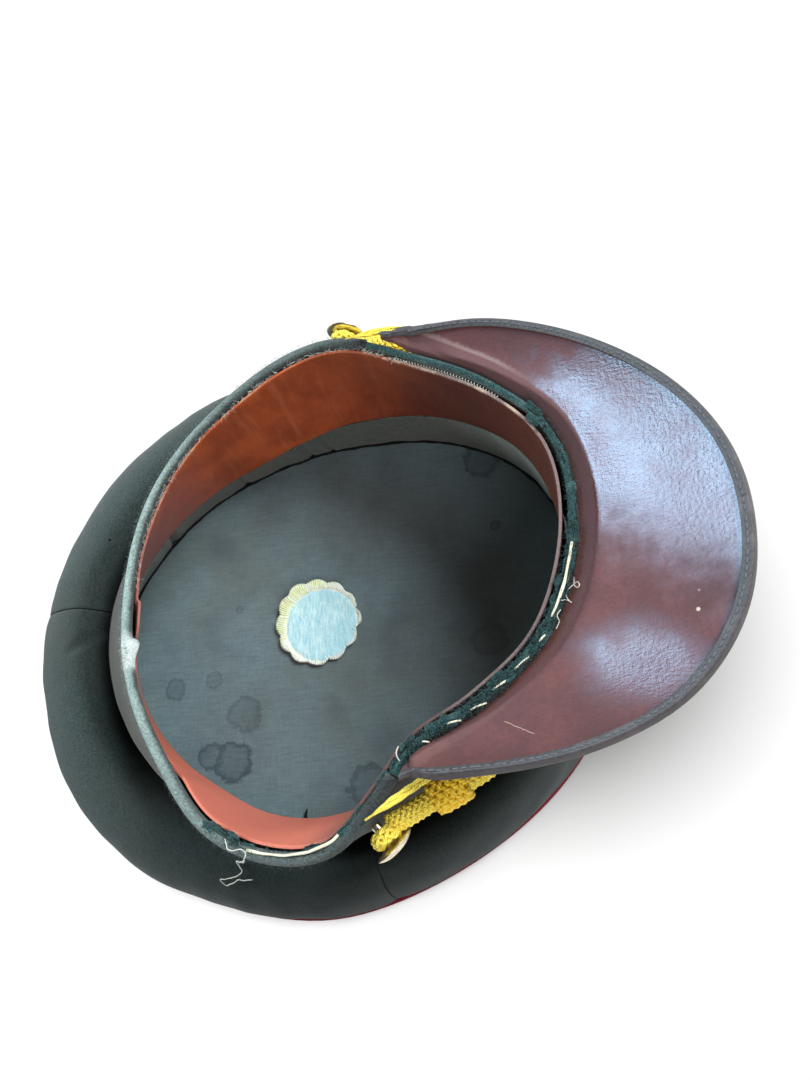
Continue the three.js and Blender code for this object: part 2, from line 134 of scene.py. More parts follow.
def ramped(value, low, high):
    """Smooth step from 0 to 1 between two values"""
    return value.node("ShaderNodeMapRange", {"interpolation_type": "SMOOTHSTEP"},
                      {"Value": value, "From Min": low, "From Max": high})


def blend(mask, first, second):
    """Colour from the first to the second as the mask goes from 0 to 1"""
    first, second = (dyed(tone) if isinstance(tone, tuple) else tone for tone in (first, second))
    return mask.node("ShaderNodeMix", {"data_type": "RGBA", "clamp_factor": True},
                     {0: mask, 6: first, 7: second}, 2)


def stretched(place, scale, turn=0.0):
    """Coordinates scaled along each axis, turned about the upright one"""
    return place.node("ShaderNodeMapping", {},
                      {"Vector": place, "Scale": scale, "Rotation": (0, 0, math.radians(turn))})


def axis_of(place, axis):
    """One coordinate of a place"""
    return place.node("ShaderNodeSeparateXYZ", {}, {"Vector": place}, axis)


def gap_to(place, spot):
    """Distance from a fixed spot"""
    return place.node("ShaderNodeVectorMath", {"operation": "DISTANCE"}, {0: place, 1: spot}, "Value")


def new_finish(name, specular=0.5, sheen=0.0, **sockets):
    """A material with its constant sockets set, and its Object coordinates"""
    material = bpy.data.materials.new(name)
    material.use_nodes = True
    sockets.update({"Specular IOR Level": specular, "Sheen Weight": sheen})
    for key, value in sockets.items():
        material.node_tree.nodes["Principled BSDF"].inputs[key].default_value = value
    return material, Shade(material.node_tree).node("ShaderNodeTexCoord", {}, {}, "Object")


def surface(material, relief, depth, colour, rough, **others):
    """Feeds the shader's varying sockets, and its normal from a relief of a depth in metres"""
    tree = material.node_tree
    bump = relief.node("ShaderNodeBump", {}, {"Height": relief, "Distance": depth, "Strength": 1.0})
    for key, value in {"Base Color": colour, "Roughness": rough, "Normal": bump, **others}.items():
        tree.links.new(value.socket, tree.nodes["Principled BSDF"].inputs[key])


def wool_finish(name, dark, pale, faded):
    """Matt milled wool: fine nap over a faint twill, faded patches and lint, with painted shade towards the
    near and front-right sides, in the valley along the band and in a moth hole
    """
    material, place = new_finish(name, 0.2, 0.12)
    nap = speckle(place, 0.0008, 4.0, 0.7)
    patches = speckle(place, 0.045, 4.0)
    twill = speckle(stretched(place, (1, 0.2, 1), 40), 0.0011, 2.0)
    cloth = blend(ramped(nap * 0.8 + twill * 0.2, 0.25, 0.78), dark, pale)
    cloth = blend(ramped(patches, 0.45, 0.75) * 0.5, cloth, faded)
    lint = ramped(speckle(place, 0.0016, 1.0), 0.76, 0.8)
    cloth = blend(lint * 0.35, cloth, LINT)
    # Painted shade: the wool is darker towards the near and front-right sides
    painted_shade_side = axis_of(place, "X") * 0.6 - axis_of(place, "Y") * 0.8
    cloth = blend(ramped(painted_shade_side, -0.01, 0.09) * 0.5, cloth, dark)
    # Painted shade: near-black in the valley along the band
    valley = place.node("ShaderNodeAttribute", {"attribute_name": "valley"}, {}, "Fac")
    cloth = blend(ramped(valley, 0.36, 0.82) * 0.97, cloth, VALLEY_SHADE)
    # Painted shade: the moth hole is only a near-black spot in the colour, not a cut
    from_hole = gap_to(stretched(place, MOTH_HOLE_STRETCH), MOTH_HOLE * MOTH_HOLE_STRETCH)
    cloth = blend(1 - ramped(from_hole, MOTH_HOLE_RADIUS * 0.6, MOTH_HOLE_RADIUS), cloth, (5, 6, 6))
    surface(material, nap + twill * 0.2, 0.0002, cloth, 0.82 + nap * 0.16)
    return material


def activate(piece):
    bpy.ops.object.select_all(action="DESELECT")
    piece.select_set(True)
    bpy.context.view_layer.objects.active = piece


def apply_modifier(piece, kind, **settings):
    """Adds a modifier with its settings and applies it"""
    activate(piece)
    modifier = piece.modifiers.new(kind.title(), kind)
    for key, value in settings.items():
        setattr(modifier, key, value)
    bpy.ops.object.modifier_apply(modifier=modifier.name)


def dress(piece, material, slot, *nodes):
    """Gives a finished piece its material and its body, and hides the solids it stands for. Its slot is not
    used
    """
    piece.data.materials.clear()
    piece.data.materials.append(material)
    activate(piece)
    bpy.ops.object.shade_smooth()
    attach(piece, "root")
    if nodes:
        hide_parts(*nodes)


def facing(turn):
    """Level direction at an angle in radians"""
    return Vector((math.cos(turn), math.sin(turn), 0))


def raised(height):
    """A step straight up"""
    return Vector((0, 0, height))


def levelled(point):
    """A place brought down to the floor"""
    return Vector((point.x, point.y, 0))


def skin_of(node):
    """The faces of a solid, for rays that find a place on it"""
    mesh = frame["nodes"][node].data
    return BVHTree.FromPolygons([point.co for point in mesh.vertices],
                                [face.vertices for face in mesh.polygons])


def outline_of(node, middle, steps):
    """Outer edge of a flat solid, found by level rays from a point inside it"""
    skin = skin_of(node)
    low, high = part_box(node)
    start = Vector((middle[0], middle[1], (low[2] + high[2]) / 2))
    turns = [math.tau * step / steps for step in range(steps)]
    return [skin.ray_cast(start, facing(turn))[0] for turn in turns]


def disc_sheet(name, outline, middle, rings):
    """Flat sheet inside an outline, drawn in from its edge ring by ring"""
    bpy.ops.object.select_all(action="DESELECT")
    bpy.ops.mesh.primitive_circle_add(vertices=len(outline), radius=1)
    piece = bpy.context.object
    piece.name = name
    for vertex, point in zip(piece.data.vertices, outline):
        vertex.co = point
    bpy.ops.object.mode_set(mode="EDIT")
    bpy.ops.mesh.select_all(action="SELECT")
    for left in range(rings, 0, -1):
        share = (left - 1) / left
        bpy.ops.mesh.extrude_edges_move()
        bpy.ops.transform.resize(value=(share, share, 1), center_override=middle)
    bpy.ops.mesh.select_all(action="SELECT")
    bpy.ops.mesh.remove_doubles(threshold=1e-6)
    bpy.ops.mesh.normals_make_consistent(inside=False)
    bpy.ops.object.mode_set(mode="OBJECT")
    if piece.data.polygons[0].normal.z < 0:
        piece.data.flip_normals()
    return piece


def sculpt(piece, move):
    """Moves each point of a piece by a rule of its place"""
    for vertex in piece.data.vertices:
        vertex.co += move(vertex.co)
    piece.data.update()


top_low, top_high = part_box("crown_top")
top_middle = ((top_low[0] + top_high[0]) / 2, 0.0, top_high[2])
top_edge = [Vector((point.x, point.y, top_high[2]))
            for point in outline_of("crown_top", top_middle, TOP_STEPS)]
crown_disc = disc_sheet("crown_disc", top_edge, top_middle, TOP_RINGS)
sculpt(crown_disc, lambda point: raised(-TOP_DENT * (1 + noise.noise(point * 60))))
apply_modifier(crown_disc, "SOLIDIFY", thickness=TOP_WALL, offset=-1)
crown_wool = wool_finish("crown_wool", WOOL_DARK, WOOL_PALE, WOOL_FADED)
dress(crown_disc, crown_wool, "wool", "crown_top")


# Crown quarters
# Four flaring pieces of the same wool, cut with a round lower edge, seamed to each other and turned
# in at the band. They puff out over the crown's edge, hang in soft waves and sink along the band.
QUARTER_SEAMS = (0, 82, 177, 275)
OPENING_MIDDLE = 0.020
SEAM_HALF_WIDTH = 0.0035
SEAM_SINK = 0.0009
QUARTER_WAVE = 0.0012
FOOT_BULGE = 0.0006
FOOT_HEIGHT = 0.009
VALLEY_DEPTH = 0.0082
VALLEY_REACH = 0.0085
VALLEY_TUCK = 0.0014
CREASE_FROM = Vector((-0.0995, -0.004, 0))
CREASE_TO = Vector((-0.1095, -0.0125, 0))
CREASE_HALF_WIDTH = 0.0022
CREASE_DEPTH = 0.0026
band_skin = skin_of("band")


def solid_copy(node, name, levels, crease=0.9, bend=55):
    """Copy of a solid, merged to quads and smoothed between creases at its edges of such a bend or more"""
    activate(frame["nodes"][node])
    bpy.ops.object.duplicate()
    piece = bpy.context.object
    piece.name = name
    for key in list(piece.keys()):
        del piece[key]
    bpy.ops.object.parent_clear(type="CLEAR_KEEP_TRANSFORM")
    bpy.ops.object.mode_set(mode="EDIT")
    bpy.ops.mesh.select_all(action="SELECT")
    bpy.ops.mesh.remove_doubles(threshold=1e-6)
    bpy.ops.mesh.tris_convert_to_quads(face_threshold=math.pi, shape_threshold=math.pi)
    bpy.ops.mesh.select_all(action="DESELECT")
    bpy.ops.mesh.select_mode(type="EDGE")
    bpy.ops.mesh.edges_select_sharp(sharpness=math.radians(bend))
    bpy.ops.transform.edge_crease(value=crease)
    bpy.ops.object.mode_set(mode="OBJECT")
    apply_modifier(piece, "SUBSURF", levels=levels, render_levels=levels)
    return piece


def turn_of(point):
    """Angle of a place about the opening's upright axis, in degrees"""
    return math.degrees(math.atan2(point.y, point.x - OPENING_MIDDLE)) % 360


def past(turn, mark):
    """Degrees from a mark on to an angle, from -180 to 180"""
    return (turn - mark + 180) % 360 - 180


def reach_of(point):
    """Distance of a place from the opening's upright axis"""
    return math.hypot(point.x - OPENING_MIDDLE, point.y)


def within(value):
    """A value kept from 0 to 1"""
    return min(1.0, max(0.0, value))


def outward(point):
    return Vector((point.x - OPENING_MIDDLE, point.y, 0)).normalized()


def bell(value, width):
    """A hump of 1 at 0 that is all but gone two widths off"""
    return math.exp(-((value / width) ** 2))


def valley_share(point):
    """How far a place of a quarter lies in the valley along the band, from 0 to 1"""
    return bell(band_skin.find_nearest(point)[3], VALLEY_REACH)


def crease_share(point):
    """How far a place lies in the short crease beside the back seam, from 0 to 1"""
    arm = levelled(point) - CREASE_FROM
    run = CREASE_TO - CREASE_FROM
    along = within(arm.dot(run) / run.length_squared)
    return (1 - 0.6 * along) * bell((arm - run * along).length, CREASE_HALF_WIDTH)


def quarter_wave(point):
    from_seam = min(abs(past(turn_of(point), seam)) for seam in QUARTER_SEAMS)
    from_seam = math.radians(from_seam) * reach_of(point)
    sink = SEAM_SINK * bell(from_seam, SEAM_HALF_WIDTH)
    wave = QUARTER_WAVE * noise.noise(point * 28) + 0.4 * QUARTER_WAVE * noise.noise(point * 85)
    bulge = FOOT_BULGE * bell(point.z - FOOT_HEIGHT, FOOT_HEIGHT)
    valley = valley_share(point)
    return (outward(point) * (wave * (1 - valley) + bulge - sink - VALLEY_TUCK * valley ** 3)
            - raised(VALLEY_DEPTH * valley + CREASE_DEPTH * crease_share(point)))


QUARTER_CUTS = {
    "front_right": (0.05, 0.185), "back_right": (0.063, 0.205),
    "back_left": (0.063, 0.21), "front_left": (0.05, 0.185),
}
for quarter, cut in QUARTER_CUTS.items():
    panel = solid_copy(f"crown_{quarter}", f"wool_{quarter}", 3)
    # Each point's share of the valley along the band, kept for the wool's painted shade there
    valleys = [valley_share(vertex.co) for vertex in panel.data.vertices]
    panel.data.attributes.new("valley", "FLOAT", "POINT").data.foreach_set("value", valleys)
    sculpt(panel, quarter_wave)
    dress(panel, crown_wool, "wool", f"crown_{quarter}")


# Red piping
# A thin cord covered with red cloth, sewn into the seam between the crown top and the quarters.
# Dust and wear have browned it.
PIPING_SHRINK = 0.0004
piping = solid_copy("crown_piping", "red_piping", 1)
apply_modifier(piping, "DISPLACE", strength=-PIPING_SHRINK, mid_level=0.0)
piping_red, place = new_finish("piping_red", 0.25)
weave = speckle(place, 0.0007, 2.0)
dust = speckle(place, 0.02, 3.0)
red = blend(weave, (78, 12, 24), (132, 28, 38))
red = blend(ramped(dust, 0.45, 0.65) * 0.7, red, (70, 46, 38))
surface(piping_red, weave, 0.0002, red, 0.8 + weave * 0.15)
dress(piping, piping_red, "red_piping", "crown_piping")


# Band
# An upright strip of wool over a stiffener, joined at the back and set into the quarters below.
# It is a browner, paler grey than theirs.
BAND_WAVE = 0.0003
band = solid_copy("band", "wool_band", 2)
sculpt(band, lambda point: outward(point) * BAND_WAVE * noise.noise(point * 70))
dress(band, wool_finish("band_wool", (48, 48, 46), (88, 88, 84), (96, 92, 87)), "wool", "band")


# Rolled edge
# The band's cloth is rolled over a soft core round the back and sides of the opening. Its nap is
# rubbed pale, short fibres stand up from it, and at the back seam it has worn through to the core.
RIM_HEIGHT = 0.0755
RIM_SLOPE = 0.165
ROLL_RADIUS = 0.0025
WELT_RADIUS = 0.0018
WELT_FROM = -71
WELT_TO = 76
WORN_TURN = 198
LUMP_TURN = 195.6
LUMP_REACH = 0.0034
LUMP_STEEP = 1.0
LUMP_GENTLE = 3.4
LUMP_GRAIN = 0.0005
ROLL_LUMPS = 0.0009


def mesh_piece(name, points, faces):
    """A new piece whose mesh has such points and faces"""
    mesh = bpy.data.meshes.new(name)
    mesh.from_pydata(points, [], faces)
    piece = bpy.data.objects.new(name, mesh)
    bpy.context.collection.objects.link(piece)
    return piece


def thread_mesh(name, runs, sides):
    """One mesh of many round threads. Each run has its points and its radius at each of them."""
    points, faces, spots = [], [], []
    for run, radii in runs:
        base = len(points)
        side = (run[1] - run[0]).orthogonal()
        length = 0.0
        lengths = []
        for place, spot in enumerate(run):
            ahead = (run[min(place + 1, len(run) - 1)] - run[max(place - 1, 0)]).normalized()
            side = (side - ahead * side.dot(ahead)).normalized()
            other = ahead.cross(side)
            length += (spot - run[max(place - 1, 0)]).length
            lengths.append(length)
            for step in range(sides):
                turn = math.tau * step / sides
                points.append(spot + (side * math.cos(turn) + other * math.sin(turn)) * radii[place])
        for place in range(len(run) - 1):
            for step in range(sides):
                corner = base + place * sides
                beside = (step + 1) % sides
                faces.append((corner + step, corner + beside, corner + sides + beside, corner + sides + step))
                near, far = lengths[place], lengths[place + 1]
                share = step / sides
                spots += [(near, share), (near, share + 1 / sides), (far, share + 1 / sides), (far, share)]
        first = tuple(base + step for step in reversed(range(sides)))
        last = tuple(base + (len(run) - 1) * sides + step for step in range(sides))
        faces += [first, last]
        spots += [(0.0, step / sides) for step in reversed(range(sides))]
        spots += [(length, step / sides) for step in range(sides)]
    piece = mesh_piece(name, points, faces)
    layer = piece.data.uv_layers.new(name="Run")
    layer.data.foreach_set("uv", [value for spot in spots for value in spot])
    return piece


rim_skins = {"rim_roll": skin_of("rim_roll"), "rim_welt": skin_of("rim_welt")}


def rim_point(turn, out=0.0, up=0.0):
    """Place by the middle of the rolled edge at an angle, so far out of it and above it"""
    welt = WELT_FROM < past(turn, 0) < WELT_TO
    level = facing(math.radians(turn))
    ray = (level + raised(RIM_SLOPE * level.x)).normalized()
    start = Vector((OPENING_MIDDLE, 0, RIM_HEIGHT + RIM_SLOPE * OPENING_MIDDLE))
    inner = rim_skins["rim_welt" if welt else "rim_roll"].ray_cast(start, ray)[0]
    middle = inner + ray * (WELT_RADIUS if welt else ROLL_RADIUS)
    return middle + level * out + raised(up)


def fibre(start, heading, length, curl, radius, count=4):
    """A short bent fibre from a place in a direction, thinning to its tip"""
    run = [start]
    for step in range(count):
        wander = Vector((chance.uniform(-1, 1), chance.uniform(-1, 1), chance.uniform(-1, 1)))
        heading = (heading + wander * curl).normalized()
        run.append(run[-1] + heading * length / count)
    return run, [radius * (1 - 0.7 * step / count) for step in range(count + 1)]


roll = solid_copy("rim_roll", "faded_roll", 2)
apply_modifier(roll, "DISPLACE", strength=ROLL_LUMPS, mid_level=0.5, texture_coords="LOCAL",
               texture=bpy.data.textures.new("roll_lumps", "CLOUDS"))


def worn_lump(point):
    """Felt that has worked out of the worn place, pushed in over the leather"""
    along = past(turn_of(point), LUMP_TURN)
    lump = bell(along, LUMP_STEEP if along < 0 else LUMP_GENTLE)
    inner = max(0.0, -outward(point).dot(point - rim_point(turn_of(point)))) / ROLL_RADIUS
    bump = raised(LUMP_GRAIN * lump * noise.noise(point * 500))
    return outward(point) * -LUMP_REACH * lump * inner + bump


sculpt(roll, worn_lump)
roll_felt, place = new_finish("roll_felt", 0.15, 0.2)


def rim_rise(place):
    """Height of a place over the sloping plane of the opening"""
    return axis_of(place, "Z") - axis_of(place, "X") * RIM_SLOPE - RIM_HEIGHT


nap = ramped(speckle(place, 0.0008, 4.0, 0.7), 0.3, 0.7)
rubbed = speckle(place, 0.009, 4.0, 0.6)
forward = axis_of(place, "X")
crest = ramped(rim_rise(place) + (rubbed - 0.5) * 0.002, 0.0004, 0.0023)
behind = 1 - ramped(forward + (rubbed - 0.5) * 0.03, -0.075, 0.0)
felt = blend(nap, (38, 46, 46), (80, 91, 90))
pale_felt = blend(behind, blend(nap, (70, 84, 84), (116, 130, 129)),
                  blend(nap, (130, 154, 151), (198, 220, 216)))
felt = blend(crest, felt, pale_felt)
felt = blend(ramped(forward, 0.012, 0.04), felt, blend(nap, (30, 36, 38), (66, 74, 76)))
worn_spot = rim_point(WORN_TURN, -0.001, 0.001)
from_worn = gap_to(place, worn_spot)
felt = blend(1 - ramped(from_worn + (rubbed - 0.5) * 0.008, 0.004, 0.0095), felt,
             blend(nap, (196, 212, 210), (240, 248, 247)))
surface(roll_felt, nap + rubbed * 2, 0.0004, felt, 0.85 + nap * 0.14)
dress(roll, roll_felt, "faded_wool", "rim_roll")


def pick(span):
    """A chance value from a span, or the one value given"""
    return chance.uniform(*span) if isinstance(span, tuple) else span


def rim_hairs(count, spread, turns, radii, lengths, lean, curl, thickness, innermost=-0.2):
    """Fibres that stand up from the edge at angles spread by chance, round its top or its inner side"""
    runs = []
    for hair in range(count):
        turn, radius, length = spread(*turns), pick(radii), pick(lengths)
        level = outward(rim_point(turn))
        spin = chance.uniform(innermost, innermost + 3.3)
        heading = level * math.cos(spin) + raised(math.sin(spin))
        start = rim_point(turn) + heading * radius
        along = Vector((-level.y, level.x, 0)) * chance.uniform(-lean, lean)
        runs.append(fibre(start, (heading + along).normalized(), length, curl, thickness))
    return runs


nap_runs = rim_hairs(2600, chance.uniform, (WELT_TO + 2, 358 + WELT_FROM), ROLL_RADIUS * 0.98,
                     (0.0006, 0.0016), 0.6, 0.8, 0.00004)
nap_runs += rim_hairs(500, chance.gauss, (WORN_TURN, 2.4), (ROLL_RADIUS * 0.8, ROLL_RADIUS),
                      (0.0005, 0.0013), 0.8, 1.3, 0.00007, 0.9)
dress(thread_mesh("roll_nap", nap_runs, 3), roll_felt, "faded_wool")


# Torn welt
# Along the peak the edge was bound with a thin dark teal cloth. It has rotted, so it hangs in
# scraps and frayed clumps round its cord.
TEAR_FROM = -60
TEAR_TO = 24
WELT_LUMPS = 0.0014
welt = solid_copy("rim_welt", "torn_welt", 2)
apply_modifier(welt, "DISPLACE", strength=WELT_LUMPS, mid_level=0.75, texture_coords="LOCAL",
               texture=bpy.data.textures.new("welt_lumps", "CLOUDS"))
torn_teal, place = new_finish("torn_teal", 0.2, 0.15)
thread_grain = speckle(place, 0.0007, 3.0, 0.7)
age = speckle(place, 0.006, 4.0)
teal = blend(ramped(thread_grain, 0.3, 0.75), (6, 22, 24), (52, 92, 94))
teal = blend(ramped(age, 0.5, 0.75) * 0.5, teal, (84, 116, 116))
surface(torn_teal, thread_grain + age, 0.0004, teal, 0.85 + age * 0.12)
dress(welt, torn_teal, "torn_cloth", "rim_welt")

SCRAP_ROWS = 8
SCRAP_COLUMNS = 5
SCRAP_WALL = 0.00025
SCRAP_CRUMPLE = 0.0009
RIM_RADIUS = 0.09
# Columns: count, how angles spread, angles, place out of the edge, place above it, length, width, lean
SCRAPS = (
    (58, chance.uniform, (TEAR_FROM, -3), (-0.0018, 0.0014), (0.0002, 0.0016),
     (0.003, 0.008), (0.0012, 0.0028), (-0.9, 0.9)),
    (7, chance.uniform, (-3, TEAR_TO), (-0.0012, 0.001), (0.0004, 0.0014),
     (0.004, 0.008), (0.001, 0.002), (-0.5, 0.5)),
    (18, chance.uniform, (-86, -64), (-0.0034, -0.0014), (-0.0006, 0.0008), 0.006, 0.0018, (-1.0, 0.2)),
    (6, chance.gauss, (23.5, 1.3), (-0.0028, 0.001), (0.0008, 0.0024), 0.006, 0.003, (-1, 1)),
    (12, chance.uniform, (-114, -104), (-0.0034, -0.0012), (0.0012, 0.0024), 0.005, 0.0028, (-1.1, 0.1)),
    (9, chance.uniform, (-91, -83), (-0.0034, -0.0016), (0.001, 0.002), 0.005, 0.0024, (-1.1, 0.1)),
)


def scrap_points(turn, out, up, length, width, lean):
    """Points of one crumpled scrap of cloth by the edge, row by row"""
    points = []
    for row in range(SCRAP_ROWS + 1):
        along = row / SCRAP_ROWS - 0.5
        spot = rim_point(turn + math.degrees(along * length / RIM_RADIUS), out, up)
        ragged = width * (1 - 1.2 * along ** 2) * (1 + 0.5 * noise.noise(spot * 700))
        across = outward(spot) * math.cos(lean) + raised(math.sin(lean))
        for column in range(SCRAP_COLUMNS + 1):
            place = spot + across * (column / SCRAP_COLUMNS - 0.5) * ragged
            points.append(place + noise.noise_vector(place * 330) * SCRAP_CRUMPLE)
    return points


points, faces = [], []
for count, spread, turns, *spans in SCRAPS:
    for scrap in range(count):
        base = len(points)
        points += scrap_points(spread(*turns), *(pick(span) for span in spans))
        for row in range(SCRAP_ROWS):
            for column in range(SCRAP_COLUMNS):
                corner = base + row * (SCRAP_COLUMNS + 1) + column
                faces.append((corner, corner + 1, corner + SCRAP_COLUMNS + 2, corner + SCRAP_COLUMNS + 1))
welt_scraps = mesh_piece("welt_scraps", points, faces)
apply_modifier(welt_scraps, "SUBSURF", levels=1, render_levels=1)
apply_modifier(welt_scraps, "SOLIDIFY", thickness=SCRAP_WALL, offset=0)
dress(welt_scraps, torn_teal, "torn_cloth")

fray_runs = rim_hairs(1000, chance.uniform, (TEAR_FROM - 8, -2), WELT_RADIUS * 0.9,
                      (0.0012, 0.0036), 1.0, 1.0, 0.00011)
fray_runs += rim_hairs(420, chance.uniform, (-2, TEAR_TO + 2), WELT_RADIUS * 0.95,
                       (0.0006, 0.0018), 1.0, 0.9, 0.00007)
fray_runs += rim_hairs(200, chance.uniform, (-115, -84), ROLL_RADIUS * 0.95,
                       (0.001, 0.003), 1.0, 0.9, 0.0001, 1.2)
dress(thread_mesh("welt_fray", fray_runs, 4), torn_teal, "torn_cloth")


# Reed
# The stiffener of the edge is a split cream-coloured reed. It lies bare where the cloth has torn,
# whole at the front and snapped into short lengths towards the side.
REED_RADIUS = 0.0005
REED_WHOLE = 10
SPLINTER_SHARE = 0.66
REED_STEP = 1.2
REED_END_DROP = 0.0009
REED_BEND = 0.0005
# Columns: from angle, to angle, place out of the edge, place above it
REED_BREAKS = (
    (-23, -7, 0.0002, 0.0025), (-28.8, -26.4, 0.0006, 0.0021), (-36.2, -32, 0.0006, 0.0019),
    (-42.2, -38.6, 0.001, 0.0019), (-48.3, -44.9, 0.0014, 0.0018), (-54.4, -51.6, 0.0014, 0.0018),
    (-61.5, -60.2, 0.0016, 0.0017),
)
SIDE_REED = (256, 275, -0.0018, 0.003)


def reed_run(start, end, out, up):
    """A length of reed along the edge, thinner where it has splintered"""
    steps = max(4, round((end - start) / REED_STEP))
    run = []
    for step in range(steps + 1):
        share = step / steps
        drop = REED_END_DROP * abs(2 * share - 1) ** 3
        spot = rim_point(start + (end - start) * share, out * (0.5 + share), up - drop)
        run.append(spot + noise.noise_vector(spot * 90 + Vector((start, 0, 0))) * REED_BEND)
    radius = REED_RADIUS * (1 if end - start > REED_WHOLE else SPLINTER_SHARE)
    return run, [radius * (0.9 + 0.3 * noise.noise(spot * 200)) for spot in run]


def run_of(place):
    """Coordinates along a thread and round it"""
    return place.node("ShaderNodeUVMap", {"uv_map": "Run"}, {})


cream_reed, place = new_finish("cream_reed", 0.4)
split = speckle(stretched(run_of(place), (25, 4, 1)), 1.0, 3.0)
grime = speckle(place, 0.005, 3.0)
reed_tone = blend(ramped(split, 0.3, 0.7), (206, 198, 172), (246, 242, 224))
reed_tone = blend(ramped(grime, 0.5, 0.7) * 0.4, reed_tone, (140, 130, 106))
surface(cream_reed, split, 0.0002, reed_tone, 0.5 + grime * 0.3)
front_runs = [reed_run(*piece) for piece in REED_BREAKS]
dress(thread_mesh("split_reed_front", front_runs, 10), cream_reed, "reed", "reed_front")
dress(thread_mesh("split_reed_side", [reed_run(*SIDE_REED)], 10), cream_reed, "reed", "reed_side")


# Lining
# A disc and a pleated strip of dark grey slub cloth, seamed together at the crown's edge and
# caught under the leather. Water has left rings and spots on the disc.
LINING_STEPS = 160
LINING_RINGS = 48
LINING_WALL = 0.0008
LINING_LIFT = 0.0011
LINING_SHIFT = 0.008
PATCH_MIDDLE = Vector((-0.0035, -0.0025, 0))
PATCH_REACH = 0.022
PATCH_CALM = 0.012
STAIN = (26, 38, 52)
# Columns: forward, sideways, radius, strength
STAIN_RINGS = (
    (0.0759, 0.0674, 0.0095, 0.75),
    (0.0800, 0.0350, 0.0026, 0.8),
    (0.0737, -0.0178, 0.0085, 0.45),
    (-0.0536, -0.0591, 0.0066, 0.8),
    (-0.0427, -0.0619, 0.0092, 0.9),
    (-0.0720, -0.0280, 0.0055, 0.6),
    (-0.0529, -0.0249, 0.0040, 0.5),
    (-0.0378, -0.0418, 0.0085, 0.5),
    (0.0190, -0.0760, 0.0100, 0.7),
    (-0.0420, 0.0072, 0.0022, 0.5),
)
lining_low, lining_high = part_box("lining_top")
lining_middle = (OPENING_MIDDLE - LINING_SHIFT, 0.0, lining_high[2])
lining_edge = [Vector((point.x, point.y, lining_low[2] + LINING_WALL))
               for point in outline_of("lining_top", lining_middle, LINING_STEPS)]
lining_middle = (lining_middle[0], 0.0, lining_edge[0].z)
lining_disc = disc_sheet("lining_disc", lining_edge, lining_middle, LINING_RINGS)


def lining_wave(point):
    from_patch = (levelled(point) - PATCH_MIDDLE).length
    calm = within((from_patch - PATCH_REACH) / PATCH_CALM)
    wave = 0.5 + 0.5 * noise.noise(point * 26) + 0.25 * noise.noise(point * 75)
    return raised(LINING_LIFT * calm * wave)


sculpt(lining_disc, lining_wave)
apply_modifier(lining_disc, "SOLIDIFY", thickness=LINING_WALL, offset=-1)


def slub_cloth(place):
    """Grain of a plain weave whose thick threads run across the cap, from 0 to 1"""
    slubs = speckle(stretched(place, (0.12, 1, 1)), 0.0009, 3.0, 0.6)
    warp = speckle(stretched(place, (1, 0.16, 1)), 0.0008, 2.0, 0.6)
    return slubs * 0.5 + warp * 0.3 + speckle(place, 0.0007, 2.0) * 0.2


lining_cloth, place = new_finish("lining_cloth", 0.3)
grain = slub_cloth(place)
clouding = speckle(place, 0.05, 5.0, 0.6)
blue_patches = speckle(place, 0.022, 4.0, 0.5)
cloth = blend(ramped(grain, 0.1, 0.9), (84, 101, 106), (118, 138, 144))
cloth = blend(ramped(clouding, 0.35, 0.7) * 0.45, cloth, (92, 92, 84))
cloth = blend(ramped(blue_patches, 0.5, 0.75) * 0.4, cloth, (74, 86, 98))
wobble = speckle(place, 0.006, 5.0, 0.65)
stained = None
for ahead, aside, radius, strength in STAIN_RINGS:
    gap = gap_to(place, (ahead, aside, lining_edge[0].z)) + (wobble - 0.5) * radius * 1.3
    inside = 1 - ramped(gap, radius * 0.8, radius * 1.04)
    line = inside * ramped(gap, radius * 0.55, radius * 0.95)
    mark = (line * 0.7 + inside * 0.45) * strength
    stained = mark if stained is None else stained.math("MAXIMUM", stained, mark)
cloth = blend(stained * 0.7, cloth, STAIN)
surface(lining_cloth, grain, 0.0002, cloth, 0.45 + grain * 0.15)
dress(lining_disc, lining_cloth, "lining", "lining_top")

PLEAT_TURNS = (100.7, 107.7, 129.7, 155.3, 222, 246, 253, 300, 331)
PLEAT_HALF_TURN = 0.8
PLEAT_DEPTH = 0.0016
STRIP_WAVE = 0.0009
strip = solid_copy("lining_side", "lining_strip", 3)


def strip_pleats(point):
    turn = turn_of(point)
    sink = sum(bell(past(turn, pleat), PLEAT_HALF_TURN) for pleat in PLEAT_TURNS)
    folds = noise.noise(Vector((math.radians(turn) * 9, point.z * 12, 3.0)))
    return outward(point) * (STRIP_WAVE * folds + PLEAT_DEPTH * sink)


sculpt(strip, strip_pleats)
strip_cloth, place = new_finish("strip_cloth", 0.25, 0.1)
grain = slub_cloth(place)
clouding = speckle(place, 0.03, 4.0)
cloth = blend(ramped(grain, 0.3, 0.7), (64, 72, 67), (102, 110, 104))
cloth = blend(ramped(clouding, 0.45, 0.75) * 0.5, cloth, (92, 92, 84))
surface(strip_cloth, grain, 0.0003, cloth, 0.75 + grain * 0.2)
dress(strip, strip_cloth, "lining", "lining_side")

